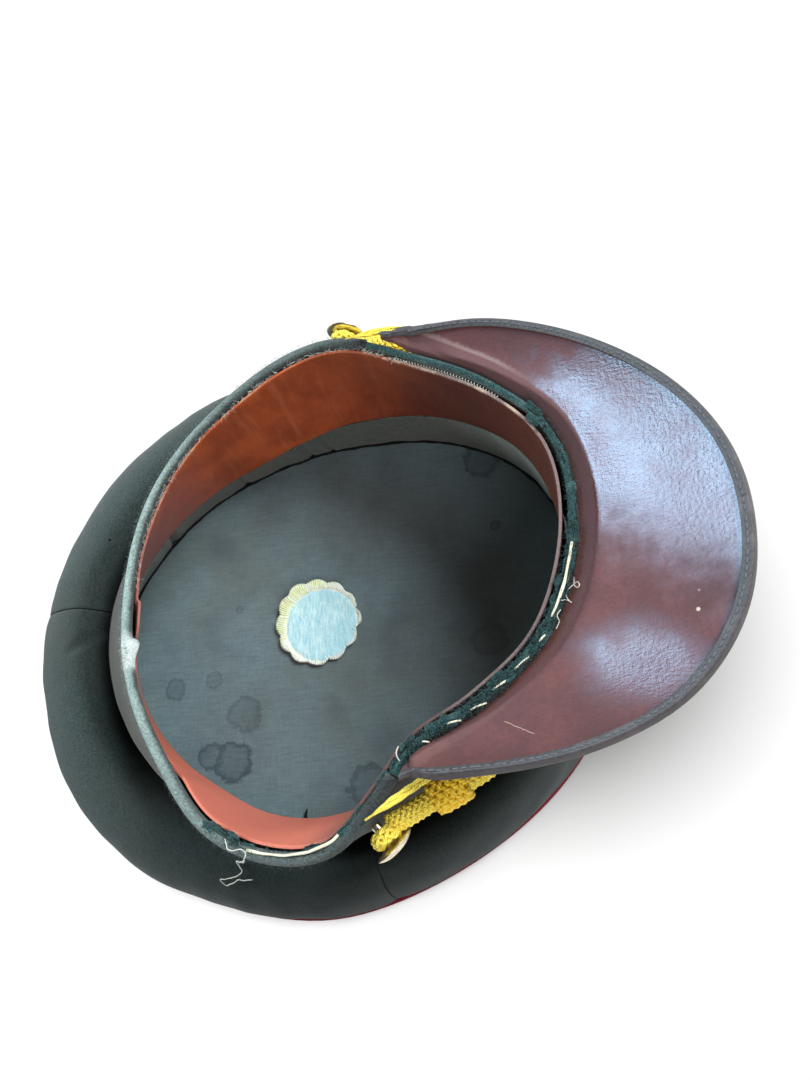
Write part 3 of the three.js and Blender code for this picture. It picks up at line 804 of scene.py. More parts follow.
SEAM_RADIUS = 0.0006
SEAM_RISE = 0.0016
SEAM_GATHER = 0.0005
TUFT_RADII = (0.0007, 0.0006, 0.0003)
SEAM_TUFTS = (
    ((-0.0082, -0.0886, 0.0058), (-0.0084, -0.086, 0.0054), (-0.008, -0.0832, 0.005)),
    ((-0.0168, -0.0878, 0.0058), (-0.017, -0.0868, 0.0056), (-0.0172, -0.0856, 0.0054)),
)
# The seam's thread is near-black: the gathered seam, with painted shade in its groove
seam_and_shade_thread, place = new_finish("seam_and_shade_thread", 0.1)
seam_shade = speckle(place, 0.004, 3.0)
surface(seam_and_shade_thread, seam_shade, 0.0001, blend(seam_shade, (8, 11, 11), (30, 35, 34)),
        0.85 + seam_shade * 0.1)
strip_skin = skin_of("lining_side")
seam_run = []
for spot in lining_edge + lining_edge[:1]:
    rise = raised(SEAM_RISE)
    start = Vector((lining_middle[0], 0, spot.z)) + rise
    wall = strip_skin.ray_cast(start, (spot - start + rise).normalized())[0]
    gather = SEAM_GATHER * (noise.noise(spot * 160) + 0.6 * noise.noise(spot * 500))
    seam_run.append((wall or spot) + outward(spot) * (gather - SEAM_RADIUS))
seam_runs = [(seam_run, [SEAM_RADIUS] * len(seam_run))]
seam_runs += [([Vector(spot) for spot in tuft], TUFT_RADII) for tuft in SEAM_TUFTS]
dress(thread_mesh("lining_seam", seam_runs, 6), seam_and_shade_thread, "lining")


# Lining patch
# A plain scalloped disc of pale blue satin, sewn flat in the middle of the lining. Its edge is
# overcast with cream thread, and two of its lobes have come up.
PATCH_RADIUS = 0.0186
PATCH_LOBES = 12
PATCH_LOBE_DEPTH = 0.0015
PATCH_RINGS = 26
PAD_MIDDLE = PATCH_MIDDLE + Vector((0.002, -0.0016, 0))
PAD_RADIUS = 0.0168
PATCH_STEPS = 192
PATCH_WALL = 0.0013
PATCH_SINK = 0.0006
PAD_GROOVE = 0.0005
PAD_GROOVE_WIDTH = 0.0006
PATCH_WRINKLE = 0.0003
LIFTED_TURN = math.radians(128)
LIFTED_HEIGHT = 0.0028
patch_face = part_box("lining_patch")[1][2] - PATCH_SINK


def patch_edge(turn):
    return PATCH_RADIUS + PATCH_LOBE_DEPTH * (abs(math.cos(turn * PATCH_LOBES / 2)) - 0.2)


def patch_place(turn, radius):
    """Place on the patch's face at an angle and a distance from its middle"""
    return PATCH_MIDDLE + Vector((radius * math.cos(turn), radius * math.sin(turn), patch_face))


patch_turns = [math.tau * step / PATCH_STEPS for step in range(PATCH_STEPS)]
patch_outline = [patch_place(turn, patch_edge(turn)) for turn in patch_turns]
patch = disc_sheet("satin_patch", patch_outline, tuple(patch_place(0, 0)), PATCH_RINGS)


def patch_relief(point):
    arm = levelled(point) - PATCH_MIDDLE
    turn = math.atan2(arm.y, arm.x)
    share = arm.length / patch_edge(turn)
    from_pad = (levelled(point) - PAD_MIDDLE).length - PAD_RADIUS
    groove = -PAD_GROOVE * bell(from_pad, PAD_GROOVE_WIDTH)
    loose = max(0.0, math.cos(turn - LIFTED_TURN)) ** 6
    lifted = LIFTED_HEIGHT * loose * max(0.0, share - 0.6) ** 1.5 * 4
    return raised(groove + lifted + PATCH_WRINKLE * noise.noise(point * 260))


sculpt(patch, patch_relief)
apply_modifier(patch, "SOLIDIFY", thickness=PATCH_WALL, offset=-1)
patch_satin, place = new_finish("patch_satin", 0.4, 0.2)
brushed = speckle(stretched(place, (1, 0.2, 1)), 0.0009, 4.0, 0.6)
washed = speckle(place, 0.012, 3.0)
from_pad = gap_to(place, PAD_MIDDLE + raised(patch_face))
satin = blend(ramped(brushed, 0.25, 0.75), (158, 218, 232), (220, 250, 254))
satin = blend(ramped(washed, 0.4, 0.7) * 0.5, satin, (166, 220, 236))
border_yarn = speckle(place, 0.0012, 3.0)
cream = blend(border_yarn, (212, 226, 212), (246, 250, 242))
ragged = (border_yarn - 0.5) * 0.0008 + (speckle(place, 0.005, 3.0) - 0.5) * 0.005
satin = blend(ramped(from_pad + ragged, PAD_RADIUS - 0.0006, PAD_RADIUS), satin, cream)
surface(patch_satin, brushed + border_yarn, 0.0003, satin, 0.55 + brushed * 0.3)
dress(patch, patch_satin, "patch", "lining_patch")

border_thread, place = new_finish("border_thread", 0.3)
across = axis_of(place, "X") - PATCH_MIDDLE.x
along = axis_of(place, "Y") - PATCH_MIDDLE.y
tint = speckle(place, 0.003, 3.0)
yellowed = ramped(along - across * 1.1 + (tint - 0.5) * 0.09, 0.004, 0.02)
yarn = blend(tint, (222, 232, 218), (250, 252, 246))
surface(border_thread, tint, 0.0001, blend(yellowed * 0.6, yarn, (212, 222, 104)), 0.6 + tint * 0.2)
LOBE_STITCHES = range(-4, 5)
LOBE_PARTS = 9.6
BORDER_INNERMOST = 0.0125
BORDER_SHORTEST = 0.0012
BORDER_SCAN = 0.0002
BORDER_OVERHANG = 0.0002
BORDER_SHARES = (0, 0.35, 0.7, 1)
BORDER_RADII = (0.0002, 0.00032, 0.00034, 0.00026)
border_runs = []
for lobe in range(PATCH_LOBES):
    for stitch in LOBE_STITCHES:
        turn = math.tau * (lobe + stitch / LOBE_PARTS) / PATCH_LOBES
        edge, inner = patch_edge(turn), BORDER_INNERMOST
        while (inner < edge - BORDER_SHORTEST
               and (patch_place(turn, inner) - PAD_MIDDLE).to_2d().length < PAD_RADIUS):
            inner += BORDER_SCAN
        length = edge + BORDER_OVERHANG - inner
        spots = [patch_place(turn + 0.03 * math.sin(3 * share), inner + length * share)
                 for share in BORDER_SHARES]
        lifts = [raised(chance.uniform(-0.0001, 0.0002)) for spot in spots]
        border_runs.append(([spot + patch_relief(spot) + lift for spot, lift in zip(spots, lifts)],
                            BORDER_RADII))
dress(thread_mesh("patch_border", border_runs, 5), border_thread, "patch")


# Sweatband
# A strip of brown hide sewn in along the rolled edge and lapped over itself at the back. It is
# greased, streaked and blotched, and its cut upper edge is raw and pale.
LAP_TURN = 183
LAP_RISE = 0.0013
LAP_STEEP = 0.8
LAP_GENTLE = 22
HIDE_WAVE = 0.0007
TUCK_TURN = 213
TUCK_HALF_TURN = 22
TUCK_PUSH = 0.004
TUCK_DROP = 0.005
TUCK_FADE = 0.04
leather_band = solid_copy("sweatband", "leather_band", 3)


def hide_wave(point):
    """Faint waves, the lap at the back, and the stretch beside it that is tucked in under the roll"""
    past_lap = past(turn_of(point), LAP_TURN)
    lap = LAP_RISE * within(past_lap / LAP_STEEP) * max(0.0, 1 - max(0.0, past_lap) / LAP_GENTLE)
    wave = HIDE_WAVE * noise.noise(Vector((point.x * 40, point.y * 40, point.z * 14)))
    tucked = max(0.0, 1 - ((turn_of(point) - TUCK_TURN) / TUCK_HALF_TURN) ** 4)
    tucked *= within(1 + (point.z - point.x * RIM_SLOPE - RIM_HEIGHT) / TUCK_FADE)
    return outward(point) * (wave - lap + TUCK_PUSH * tucked) - raised(TUCK_DROP * tucked)


sculpt(leather_band, hide_wave)
sweat_hide, place = new_finish("sweat_hide", 0.45)
forward = axis_of(place, "X")
sideways = axis_of(place, "Y")
blotches = speckle(place, 0.02, 5.0, 0.65)
streaks = speckle(stretched(place, (1, 1, 0.1)), 0.004, 4.0, 0.6)
pores = speckle(place, 0.0009, 3.0, 0.7)
hide = blend(ramped(blotches, 0.3, 0.75), (146, 64, 26), (188, 88, 42))
hide = blend(ramped(streaks, 0.5, 0.75) * 0.25, hide, (208, 128, 88))
# Painted shade: the hide is darker towards the front
hide = blend(ramped(forward, 0.0, 0.08) * 0.9, hide, (62, 28, 23))
# Painted light: the hide is lighter and pinker on the near side, where light falls on it
hide = blend(ramped(0 - sideways, 0.04, 0.085) * 0.9, hide, (210, 116, 98))
# Painted sheen: pinkish grey on the back-left of the hide
painted_sheen = ramped(0 - forward, 0.03, 0.075) * ramped(sideways, -0.075, -0.035)
hide = blend(painted_sheen * 0.85, hide, (158, 104, 102))
shaded = ramped(forward, 0.008, 0.036) * ramped(0 - sideways, 0.0, 0.03)
hide = blend(shaded * 0.9, hide, (70, 50, 47))
hide = blend(ramped(pores, 0.55, 0.8) * 0.35, hide, (96, 40, 24))
raw_edge = ramped(rim_rise(place) + (streaks - 0.5) * 0.002, -0.001, 0.0)
hide = blend(raw_edge * ramped(forward, 0.05, 0.08) * 0.85, hide, (116, 98, 98))
frayed = raw_edge * ramped(blotches, 0.52, 0.65) * ramped(sideways, 0.0, 0.04)
hide = blend(frayed * 0.6, hide, (196, 170, 150))
surface(sweat_hide, pores + blotches * 0.6, 0.0002, hide, 0.42 + streaks * 0.25)
dress(leather_band, sweat_hide, "sweatband_leather", "sweatband")


# Peak
# Two stiff skins stitched back to back: maroon oilcloth with a glossy worn face below, black
# patent leather above. Both are bent down into the seam along the rim.
TIP_TURNS = (-69.5, 71.5)
TIP_TAPER = 13.0
TIP_DRAW = 0.5
TIP_RISE = 0.62
peak_tops = {}
for vertex in frame["nodes"]["peak_binding"].data.vertices:
    turn = round(past(turn_of(vertex.co), 0))
    peak_tops[turn] = max(peak_tops.get(turn, 0.0), vertex.co.z)


def beyond_rim(point):
    """How far out a place of the peak lies from the seam along the rim"""
    return reach_of(point) - reach_of(rim_point(turn_of(point), WELT_RADIUS))


def peak_tip(point):
    """Draws the peak's two ends thin and in over the seam"""
    turn = past(turn_of(point), 0)
    left = min(turn - TIP_TURNS[0], TIP_TURNS[1] - turn) / TIP_TAPER
    if left >= 1:
        return Vector((0, 0, 0))
    fade = 1 - max(0.0, left)
    fade = fade * fade * (3 - 2 * fade)
    top = peak_tops[min(peak_tops, key=lambda known: abs(known - turn))]
    return (outward(point) * -TIP_DRAW * max(0.0, beyond_rim(point)) * fade ** 3
            + raised((top - point.z) * TIP_RISE * fade))


peak_under = solid_copy("peak_under", "oilcloth_skin", 3, 0.75, 18)
sculpt(peak_under, peak_tip)
from_rim = [beyond_rim(vertex.co) for vertex in peak_under.data.vertices]
peak_under.data.attributes.new("from_rim", "FLOAT", "POINT").data.foreach_set("value", from_rim)
GLOSS_SPOT = (0.1275, -0.0535, 0.103)
GLOSS_SPOT_TURN = -22
GLOSS_SPOT_SIZE = (0.026, 0.018, 1)
SCRATCH = (0.0895, -0.0685, 0)
SCRATCH_TURN = -29
PEAK_SPECKS = ((0.1463, -0.035, 0.1076), (0.145, -0.0407, 0.1081))


def laid_on(place, middle, turn, size):
    """Coordinates of a mark that is centred, turned and sized on the surface"""
    return place.node("ShaderNodeMapping", {"vector_type": "TEXTURE"},
                      {"Vector": place, "Location": middle, "Rotation": (0, 0, math.radians(turn)),
                       "Scale": size})


oilcloth, place = new_finish("oilcloth", IOR=1.75)
beyond = place.node("ShaderNodeAttribute", {"attribute_name": "from_rim"}, {}, "Fac")
forward = axis_of(place, "X") - OPENING_MIDDLE
sideways = axis_of(place, "Y")
turn = forward.math("ARCTAN2", sideways, forward)
radius = forward.math("SQRT", forward * forward + sideways * sideways)
weft = speckle(stretched(place, (0.2, 1, 1)), 0.0008, 2.0, 0.6)
warp = speckle(stretched(place, (1, 0.22, 1), 12), 0.001, 2.0, 0.6)
scuffs = speckle(place, 0.016, 5.0, 0.6)
crinkle = speckle(stretched(place, (1, 0.4, 1), 25), 0.001, 3.0, 0.65)
grit = speckle(place, 0.0012, 3.0, 0.7)
weave = weft * 0.7 + warp * 0.3
maroon = blend(ramped(scuffs, 0.3, 0.75), (98, 42, 37), (122, 58, 51))
maroon = blend(ramped(weave, 0.35, 0.65) * 0.4, maroon, (70, 28, 25))
maroon = blend(ramped(grit, 0.68, 0.8) * 0.4, maroon, (158, 118, 114))
root_strip = 1 - ramped(beyond + (crinkle - 0.5) * 0.0012, 0.0048, 0.006)
maroon = blend(root_strip * 0.7, maroon, (114, 66, 60))
# A pale line along the crease ridge on the far side: partly dust, partly painted highlight on the ridge
ridge_dust_and_highlight = ramped(beyond, 0.0052, 0.0062) * (1 - ramped(beyond + (grit - 0.5) * 0.002, 0.0064, 0.0078))
ridge_dust_and_highlight = ridge_dust_and_highlight * ramped(turn, 0.5, 0.75)
maroon = blend(ridge_dust_and_highlight * 0.55, maroon, (176, 150, 146))
drift = (scuffs - 0.5) * 0.4
front_gloss = ramped(turn + (radius - 0.1) * 4.8 + drift, -0.24, 0.08)
front_gloss = front_gloss * (1 - ramped(turn + drift, 0.42, 0.7))
spot = laid_on(place, GLOSS_SPOT, GLOSS_SPOT_TURN, GLOSS_SPOT_SIZE)
from_spot = gap_to(spot, (0, 0, 0))
side_gloss = 1 - ramped(from_spot + drift * 1.6, 0.3, 1.15)
gloss = front_gloss.math("MAXIMUM", front_gloss, side_gloss * 0.9)
gloss = gloss * (1.2 - scuffs * 0.5) * (1 - root_strip)
scratch = laid_on(place, SCRATCH, SCRATCH_TURN, (1, 1, 1))
scratch_run = axis_of(scratch, "X")
scratch_side = axis_of(scratch, "Y") + (crinkle - 0.5) * 0.0006
scratched = (1 - ramped(abs(scratch_side), 0.00008, 0.0002)) * (1 - ramped(abs(scratch_run), 0.0046, 0.0056))
maroon = blend(scratched * 0.7, maroon, (206, 176, 160))
for speck in PEAK_SPECKS:
    maroon = blend(1 - ramped(gap_to(place, speck), 0.0005, 0.0009), maroon, (232, 220, 200))
surface(oilcloth, weave + crinkle * 0.12 + grit * 0.2, 0.00014, maroon,
        0.74 - gloss * 0.5 + (grit - 0.5) * 0.1)
dress(peak_under, oilcloth, "peak_oilcloth", "peak_under")

peak_upper = solid_copy("peak_upper", "patent_skin", 3, 0.75, 18)
sculpt(peak_upper, peak_tip)
patent, place = new_finish("patent", **{"Coat Roughness": 0.08, "Coat IOR": 1.6})
craze = speckle(place, 0.01, 5.0, 0.7)
surface(patent, craze, 0.0002, blend(craze, (10, 10, 11), (34, 32, 32)),
        0.22 + craze * 0.2, **{"Coat Weight": 1 - craze * 0.3})
dress(peak_upper, patent, "peak_leather", "peak_upper")


# Peak binding
# A narrow strip of dark leather folded over the peak's edge and sewn through with one line of
# stitches on either face.
binding = solid_copy("peak_binding", "edge_binding", 3, 0.4)
sculpt(binding, peak_tip)
binding_hide, place = new_finish("binding_hide", 0.4)
pebble = speckle(place, 0.0012, 3.0, 0.6)
rub = speckle(place, 0.01, 4.0)
hide = blend(pebble, (43, 40, 42), (86, 81, 83))
hide = blend(ramped(rub, 0.5, 0.75) * 0.5, hide, (104, 96, 100))
surface(binding_hide, pebble, 0.0003, hide, 0.42 + pebble * 0.2)
dress(binding, binding_hide, "binding_leather", "peak_binding")

STITCH_LENGTH = 0.0019
STITCH_PITCH = 0.0026
STITCH_INSET = 0.0013
STITCH_RISE = 0.00012
STITCH_RADII = (0.00022, 0.0003, 0.0003, 0.00022)
LIP_STEPS = 300
LIP_FROM_ABOVE = 0.2
LIP_FROM_BELOW = -0.1
LIP_EASE = 7
LIP_SCAN = 0.0002
LIP_OUTERMOST = 730
LIP_INNERMOST = 410
binding_skin = skin_of("peak_binding")


def lip_line(down):
    """Line a little inside the binding's lip, on the face that is up as the cap lies or on the other"""
    axis = Vector((OPENING_MIDDLE, 0, LIP_FROM_ABOVE if down else LIP_FROM_BELOW))
    way = raised(-1 if down else 1)
    first, span = TIP_TURNS[0] + 1, TIP_TURNS[1] - TIP_TURNS[0] - 2
    turns = [math.radians(first + span * step / LIP_STEPS) for step in range(LIP_STEPS + 1)]
    levels = [facing(turn) for turn in turns]
    edges = []
    for level in levels:
        spots = [axis + level * reach * LIP_SCAN for reach in range(LIP_OUTERMOST, LIP_INNERMOST, -1)]
        found = [spot for spot in spots if binding_skin.ray_cast(spot, way)[0]]
        edges.append((found[-1] - axis).length)
    line = []
    for step, level in enumerate(levels):
        near = edges[max(0, step - LIP_EASE):step + LIP_EASE + 1]
        face = binding_skin.ray_cast(axis + level * (sum(near) / len(near) + STITCH_INSET), way)[0]
        if face:
            line.append(face + peak_tip(face))
    return line


def stitches(line, rise):
    """Short threads along a line that dip at both ends"""
    runs = []
    left = STITCH_PITCH
    up = raised(rise)
    for before, after in zip(line, line[1:]):
        left -= (after - before).length
        if left > 0:
            continue
        left += STITCH_PITCH
        ahead = (after - before).normalized() * STITCH_LENGTH
        runs.append(([after - up, after + ahead * 0.2 + up, after + ahead * 0.8 + up, after + ahead - up],
                     STITCH_RADII))
    return runs


def yarn_finish(name, specular, ridges, depth, dark, pale, rough):
    """Matt sewing thread with fine fluff along it"""
    material, place = new_finish(name, specular)
    fluff = speckle(stretched(run_of(place), (900, ridges, 1)), 1.0, 2.0)
    surface(material, fluff, depth, blend(fluff, dark, pale), rough + fluff * 0.2)
    return material


edge_thread = yarn_finish("edge_thread", 0.3, 6, 0.0001, (66, 68, 76), (116, 118, 126), 0.7)
stitch_runs = stitches(lip_line(True), STITCH_RISE) + stitches(lip_line(False), -STITCH_RISE)
edge_stitches = thread_mesh("edge_stitches", stitch_runs, 6)
dress(edge_stitches, edge_thread, "binding_leather")


# Chin cord
# A plait of twelve gold-yellow strands that goes from button to button in front of the band, over
# and under by turns. An eye at each end goes round a button's shank.
CORD_HALF_WIDTH = 0.0036
CORD_HALF_THICKNESS = 0.00265
CORD_STRANDS = 6
STRAND_RADIUS = 0.00076
PLAIT_TURN = 0.0135
PLAIT_LIFT = 0.0004
PLAIT_STEPS = 36
CORE_SHIFTS = (-0.0012, 0, 0.0012)
CORE_RADIUS = 0.0013
ROUTE_STEPS = 40
# Columns: angle in degrees, radius and height in millimetres
CORD_ROUTE = (
    (-76.7, 96.8, 70), (-70, 94.8, 70), (-63, 94, 70.5), (-54, 95.8, 72), (-42, 96.8, 74.5), (-24, 99.3, 78),
    (0, 101.8, 80), (24, 101.8, 78), (44, 99.3, 75), (60, 97.8, 72.5), (70, 98.6, 71), (77.7, 98, 70.3),
    (82.6, 97.2, 70),
)


def smooth_route(rows, gap):
    """Evenly spaced points, a gap apart, on a smooth curve through rows of angle, radius and height"""
    knots = []
    for degrees, radius, height in rows:
        level = facing(math.radians(degrees)) * radius
        knots.append(Vector((OPENING_MIDDLE, 0, 0)) + (level + raised(height)) / 1000)
    fine = []
    for place in range(len(knots) - 1):
        before, start = knots[max(place - 1, 0)], knots[place]
        end, after = knots[place + 1], knots[min(place + 2, len(knots) - 1)]
        for step in range(ROUTE_STEPS):
            t = step / ROUTE_STEPS
            fine.append(0.5 * (2 * start + (end - before) * t
                               + (2 * before - 5 * start + 4 * end - after) * t ** 2
                               + (3 * start - before - 3 * end + after) * t ** 3))
    fine.append(knots[-1])
    even = [fine[0]]
    for spot in fine[1:]:
        while (spot - even[-1]).length >= gap:
            even.append(even[-1] + (spot - even[-1]).normalized() * gap)
    return even


def axes_along(route, place):
    """Directions across a route at a place: the level one, then the upright one"""
    ahead = (route[min(place + 1, len(route) - 1)] - route[max(place - 1, 0)]).normalized()
    upright = (Vector((0, 0, 1)) - ahead * ahead.z).normalized()
    return upright.cross(ahead), upright


def plait(route, half_width, half_thickness, strand, turn_length, count, swell=0.0, axes=axes_along):
    """Strands round a route, as many each way, that pass over and under each other"""
    runs = []
    for way in (1, -1):
        for start in range(count):
            run = []
            length = 0.0
            for place, spot in enumerate(route):
                length += (spot - route[max(place - 1, 0)]).length
                broad, thin = axes(route, place)
                phase = math.tau * length / turn_length
                turn = way * phase + start * math.tau / count
                over = 1 + way * PLAIT_LIFT / half_thickness * math.cos(count * phase)
                over *= 1 - swell * abs(2 * place / (len(route) - 1) - 1) ** 4
                run.append(spot + broad * math.cos(turn) * (half_width - strand) * over
                           + thin * math.sin(turn) * (half_thickness - strand) * over)
            runs.append((run, [strand] * len(run)))
    return runs


cord_gap = PLAIT_TURN / PLAIT_STEPS
cord_route = smooth_route(CORD_ROUTE, cord_gap)
cord_runs = plait(cord_route, CORD_HALF_WIDTH, CORD_HALF_THICKNESS, STRAND_RADIUS, PLAIT_TURN, CORD_STRANDS)
for shift in CORE_SHIFTS:
    core = [spot + axes_along(cord_route, place)[0] * shift for place, spot in enumerate(cord_route)]
    cord_runs.append((core, [CORE_RADIUS] * len(core)))

EYE_RADIUS = 0.0036
EYE_HALF_DEPTH = 0.0026
EYE_HALF_THICKNESS = 0.0019
EYE_STRAND = 0.00072
EYE_STRANDS = 5
EYE_STEPS = 60
EYE_CLEARANCE = 0.0003
BUTTON_STAND = 0.0085
BUTTON_SAGS = {"button_left": 17, "button_right": 0}
shanks = {}
for button in BUTTON_SAGS:
    mesh = frame["nodes"][button].data
    middle = sum((vertex.co for vertex in mesh.vertices), Vector()) / len(mesh.vertices)
    domes = [face.normal * face.area for face in mesh.polygons if face.normal.dot(outward(middle)) > 0.2]
    shank = sum(domes, Vector()).normalized()
    seat = min((vertex.co - middle).dot(shank) for vertex in mesh.vertices)
    shanks[button] = (middle + shank * seat, shank)
    middle += shank * (seat + BUTTON_STAND - EYE_HALF_DEPTH - EYE_CLEARANCE)
    beside = shank.cross(Vector((0, 0, 1))).normalized()
    arms = [Matrix.Rotation(-math.tau * step / EYE_STEPS, 3, shank) @ beside for step in range(EYE_STEPS + 1)]
    ring = [middle + arm * EYE_RADIUS for arm in arms]
    cord_runs += plait(ring, EYE_HALF_DEPTH, EYE_HALF_THICKNESS, EYE_STRAND, math.tau * EYE_RADIUS / 1.5,
                       EYE_STRANDS, axes=lambda route, place: (shank, (route[place] - middle).normalized()))

PLY_LENGTH = 0.0011
TARNISHED_GOLD = (226, 166, 38)


def gold_finish(name, deep, bright):
    """Twisted gold-yellow yarn, tarnished in places"""
    material, place = new_finish(name)
    run = run_of(place)
    twist = axis_of(run, "X") * (1 / PLY_LENGTH) + axis_of(run, "Y") * 3
    ply = run.math("SINE", twist * math.tau) * 0.5 + 0.5
    tarnish = speckle(place, 0.006, 4.0)
    gold = blend(ply, deep, bright)
    gold = blend(ramped(tarnish, 0.5, 0.75) * 0.4, gold, TARNISHED_GOLD)
    surface(material, ply, 0.00015, gold, 0.42 + tarnish * 0.25)
    return material


gold_yarn = gold_finish("gold_yarn", (244, 206, 34), (255, 246, 120))
dress(thread_mesh("gold_plait", cord_runs, 6), gold_yarn, "gold_thread", "chin_cord")


# Cord slides
# Two knots plaited round the cord from a deeper gold yarn, broad and angular, that slide along it.
# They are thickest in the middle.
SLIDE_PLACES = {"slide_left": 0.085, "slide_right": 0.915}
SLIDE_LENGTH = 0.0128
SLIDE_HALF_WIDTH = 0.0064
SLIDE_HALF_THICKNESS = 0.0046
SLIDE_STRAND = 0.00105
SLIDE_TURN = 0.024
SLIDE_STRANDS = 8
SLIDE_SWELL = 0.14
slide_yarn = gold_finish("slide_yarn", (244, 188, 26), (255, 230, 72))
for slide, share in SLIDE_PLACES.items():
    half = round(SLIDE_LENGTH / cord_gap / 2)
    middle = round(share * (len(cord_route) - 1))
    slide_route = cord_route[middle - half:middle + half + 1]
    slide_runs = plait(slide_route, SLIDE_HALF_WIDTH, SLIDE_HALF_THICKNESS, SLIDE_STRAND, SLIDE_TURN,
                       SLIDE_STRANDS, SLIDE_SWELL)
    dress(thread_mesh(f"plaited_{slide}", slide_runs, 7), slide_yarn, "gold_thread", slide)


# Peak lace
# A flat gold tape of two slack yarns side by side, caught on the rolled edge at its ends, where
# only its wire goes on.
LACE_ROUTE = (
    (-79, 94.5, 84.9), (-72, 91.3, 85), (-64, 89.2, 83), (-52, 90, 83.5), (-30, 94, 86), (0, 99.5, 88),
    (30, 97.5, 86), (52, 94.5, 84), (60, 94.4, 84.6), (67, 94.4, 86.6), (72, 92, 87.4), (76.5, 90, 86.8),
    (81, 89.2, 85.3),
)
LACE_TWIST = 0.016
LACE_GAP = 0.0006
LACE_PLIES = 3
LACE_APART = 0.0007
LACE_HALF_WIDTH = 0.0004
LACE_HALF_THICKNESS = 0.00035
LACE_PLY_RADIUS = 0.00045
LACE_WIRE_SHARE = 0.25
LACE_WIRE_LENGTH = 0.003
LACE_TAPER = 0.007
lace_route = smooth_route(LACE_ROUTE, LACE_GAP)
lace_runs = []
for yarn in (-1, 1):
    for ply in range(LACE_PLIES):
        lace_run, radii = [], []
        for place, spot in enumerate(lace_route):
            level, upright = axes_along(lace_route, place)
            to_end = min(place, len(lace_route) - 1 - place) * LACE_GAP
            full = within((to_end - LACE_WIRE_LENGTH) / LACE_TAPER)
            full = LACE_WIRE_SHARE + (1 - LACE_WIRE_SHARE) * full
            turn = yarn * math.tau * place * LACE_GAP / LACE_TWIST + ply * math.tau / LACE_PLIES
            lace_run.append(spot + level * (yarn * LACE_APART + LACE_HALF_WIDTH * math.cos(turn)) * full
                            + upright * LACE_HALF_THICKNESS * math.sin(turn) * full)
            radii.append(LACE_PLY_RADIUS * full)
        lace_runs.append((lace_run, radii))
dress(thread_mesh("gold_lace", lace_runs, 6), gold_yarn, "gold_thread", "peak_lace")


# Buttons
# Two plain domed buttons of pale brass with a rolled rim, each on a shank that goes through the band.
# The lacquer has gone, and they are dull with bright spots. The near one droops on its slack shank.
button_brass, place = new_finish("button_brass", Metallic=1.0)
tarnish = speckle(place, 0.004, 4.0)
scratches = speckle(stretched(place, (1, 1, 0.1), 30), 0.0006, 3.0)
brass = blend(ramped(tarnish, 0.4, 0.75), (240, 230, 198), (176, 152, 100))
surface(button_brass, tarnish + scratches * 0.4, 0.0001, brass, 0.2 + tarnish * 0.2)
for button, sag in BUTTON_SAGS.items():
    head = solid_copy(button, f"brass_{button}", 3, 0.7)
    seat, shank = shanks[button]
    droop = Matrix.Rotation(math.radians(sag), 3, shank.cross(Vector((0, 0, -1))))
    sculpt(head, lambda point: seat + droop @ (point - seat) - point)
    dress(head, button_brass, "button_brass", button)


# Loose threads
# Ends of the sewing and of the torn cloth: a long crinkled one over the near side, a curl at the
# front, pale fluff and a zigzag of stitches along the leather's edge.
pale_thread = yarn_finish("pale_thread", 0.2, 4, 0.00008, (170, 172, 166), (228, 228, 220), 0.75)


def drawn(points, radius, crinkle, gap=0.0006):
    """A thread on a smooth curve through points in millimetres, with a crinkle"""
    rows = [(math.degrees(math.atan2(aside, ahead - OPENING_MIDDLE * 1000)),
             math.hypot(ahead - OPENING_MIDDLE * 1000, aside), up) for ahead, aside, up in points]
    run = [spot + noise.noise_vector(spot * 420) * crinkle for spot in smooth_route(rows, gap)]
    return run, [radius] * len(run)


thread_runs = [
    drawn([(-12.5, -96, 76.2), (-11, -99.2, 77.8), (-7.6, -99.6, 78.6), (-4.6, -100.2, 78.2),
           (-5.5, -102.6, 76.6), (-13, -103.4, 60), (-24.6, -102.9, 38.2), (-22.6, -105.7, 37.4),
           (-26, -108.4, 35.6), (-33, -109.2, 33.6), (-30.2, -111.4, 32.8), (-25.6, -109.6, 35),
           (-18.7, -109.5, 36.4)], 0.0002, 0.0006),
    drawn([(111.1, -22.4, 93), (110.9, -24.8, 93.2), (111.6, -26.1, 93.8), (112.6, -25.5, 94.2),
           (111.9, -24.2, 93.9), (110.8, -24.9, 93.6), (108.6, -26.5, 93.4), (108, -28.2, 93.5),
           (108.5, -29.8, 93.4), (109.5, -30.9, 93.7)], 0.00017, 0.0001, 0.0003),
    drawn([(109.5, -30.9, 93.7), (108.2, -29.9, 93.6), (106.3, -30.2, 94.8)], 0.00015, 0.0001, 0.0003),
    drawn([(105.7, -33, 94), (104.6, -34.8, 94.2), (105, -36.6, 93.4), (103.8, -38.8, 93)],
          0.00015, 0.0002, 0.0003),
    drawn([(50.4, -70.9, 88), (49.8, -73.3, 89), (50.8, -75.8, 87.4)], 0.0002, 0.0004),
]
ZIGZAG_FROM = 34
ZIGZAG_SPAN = 32
ZIGZAG_STITCHES = 70
ZIGZAG_RADIUS = 0.00011
zigzag = [rim_point(ZIGZAG_FROM + ZIGZAG_SPAN * step / ZIGZAG_STITCHES,
                    *((-0.0038, -0.0004) if step % 2 else (-0.0027, 0.0007)))
          for step in range(ZIGZAG_STITCHES + 1)]
thread_runs.append((zigzag, [ZIGZAG_RADIUS] * len(zigzag)))
FLUFF_COUNT = 300
FLUFF_TURNS = (62, 180)
FLUFF_OUT = -0.0032
FLUFF_SPREAD = 0.0005
FLUFF_UP = 0.0002
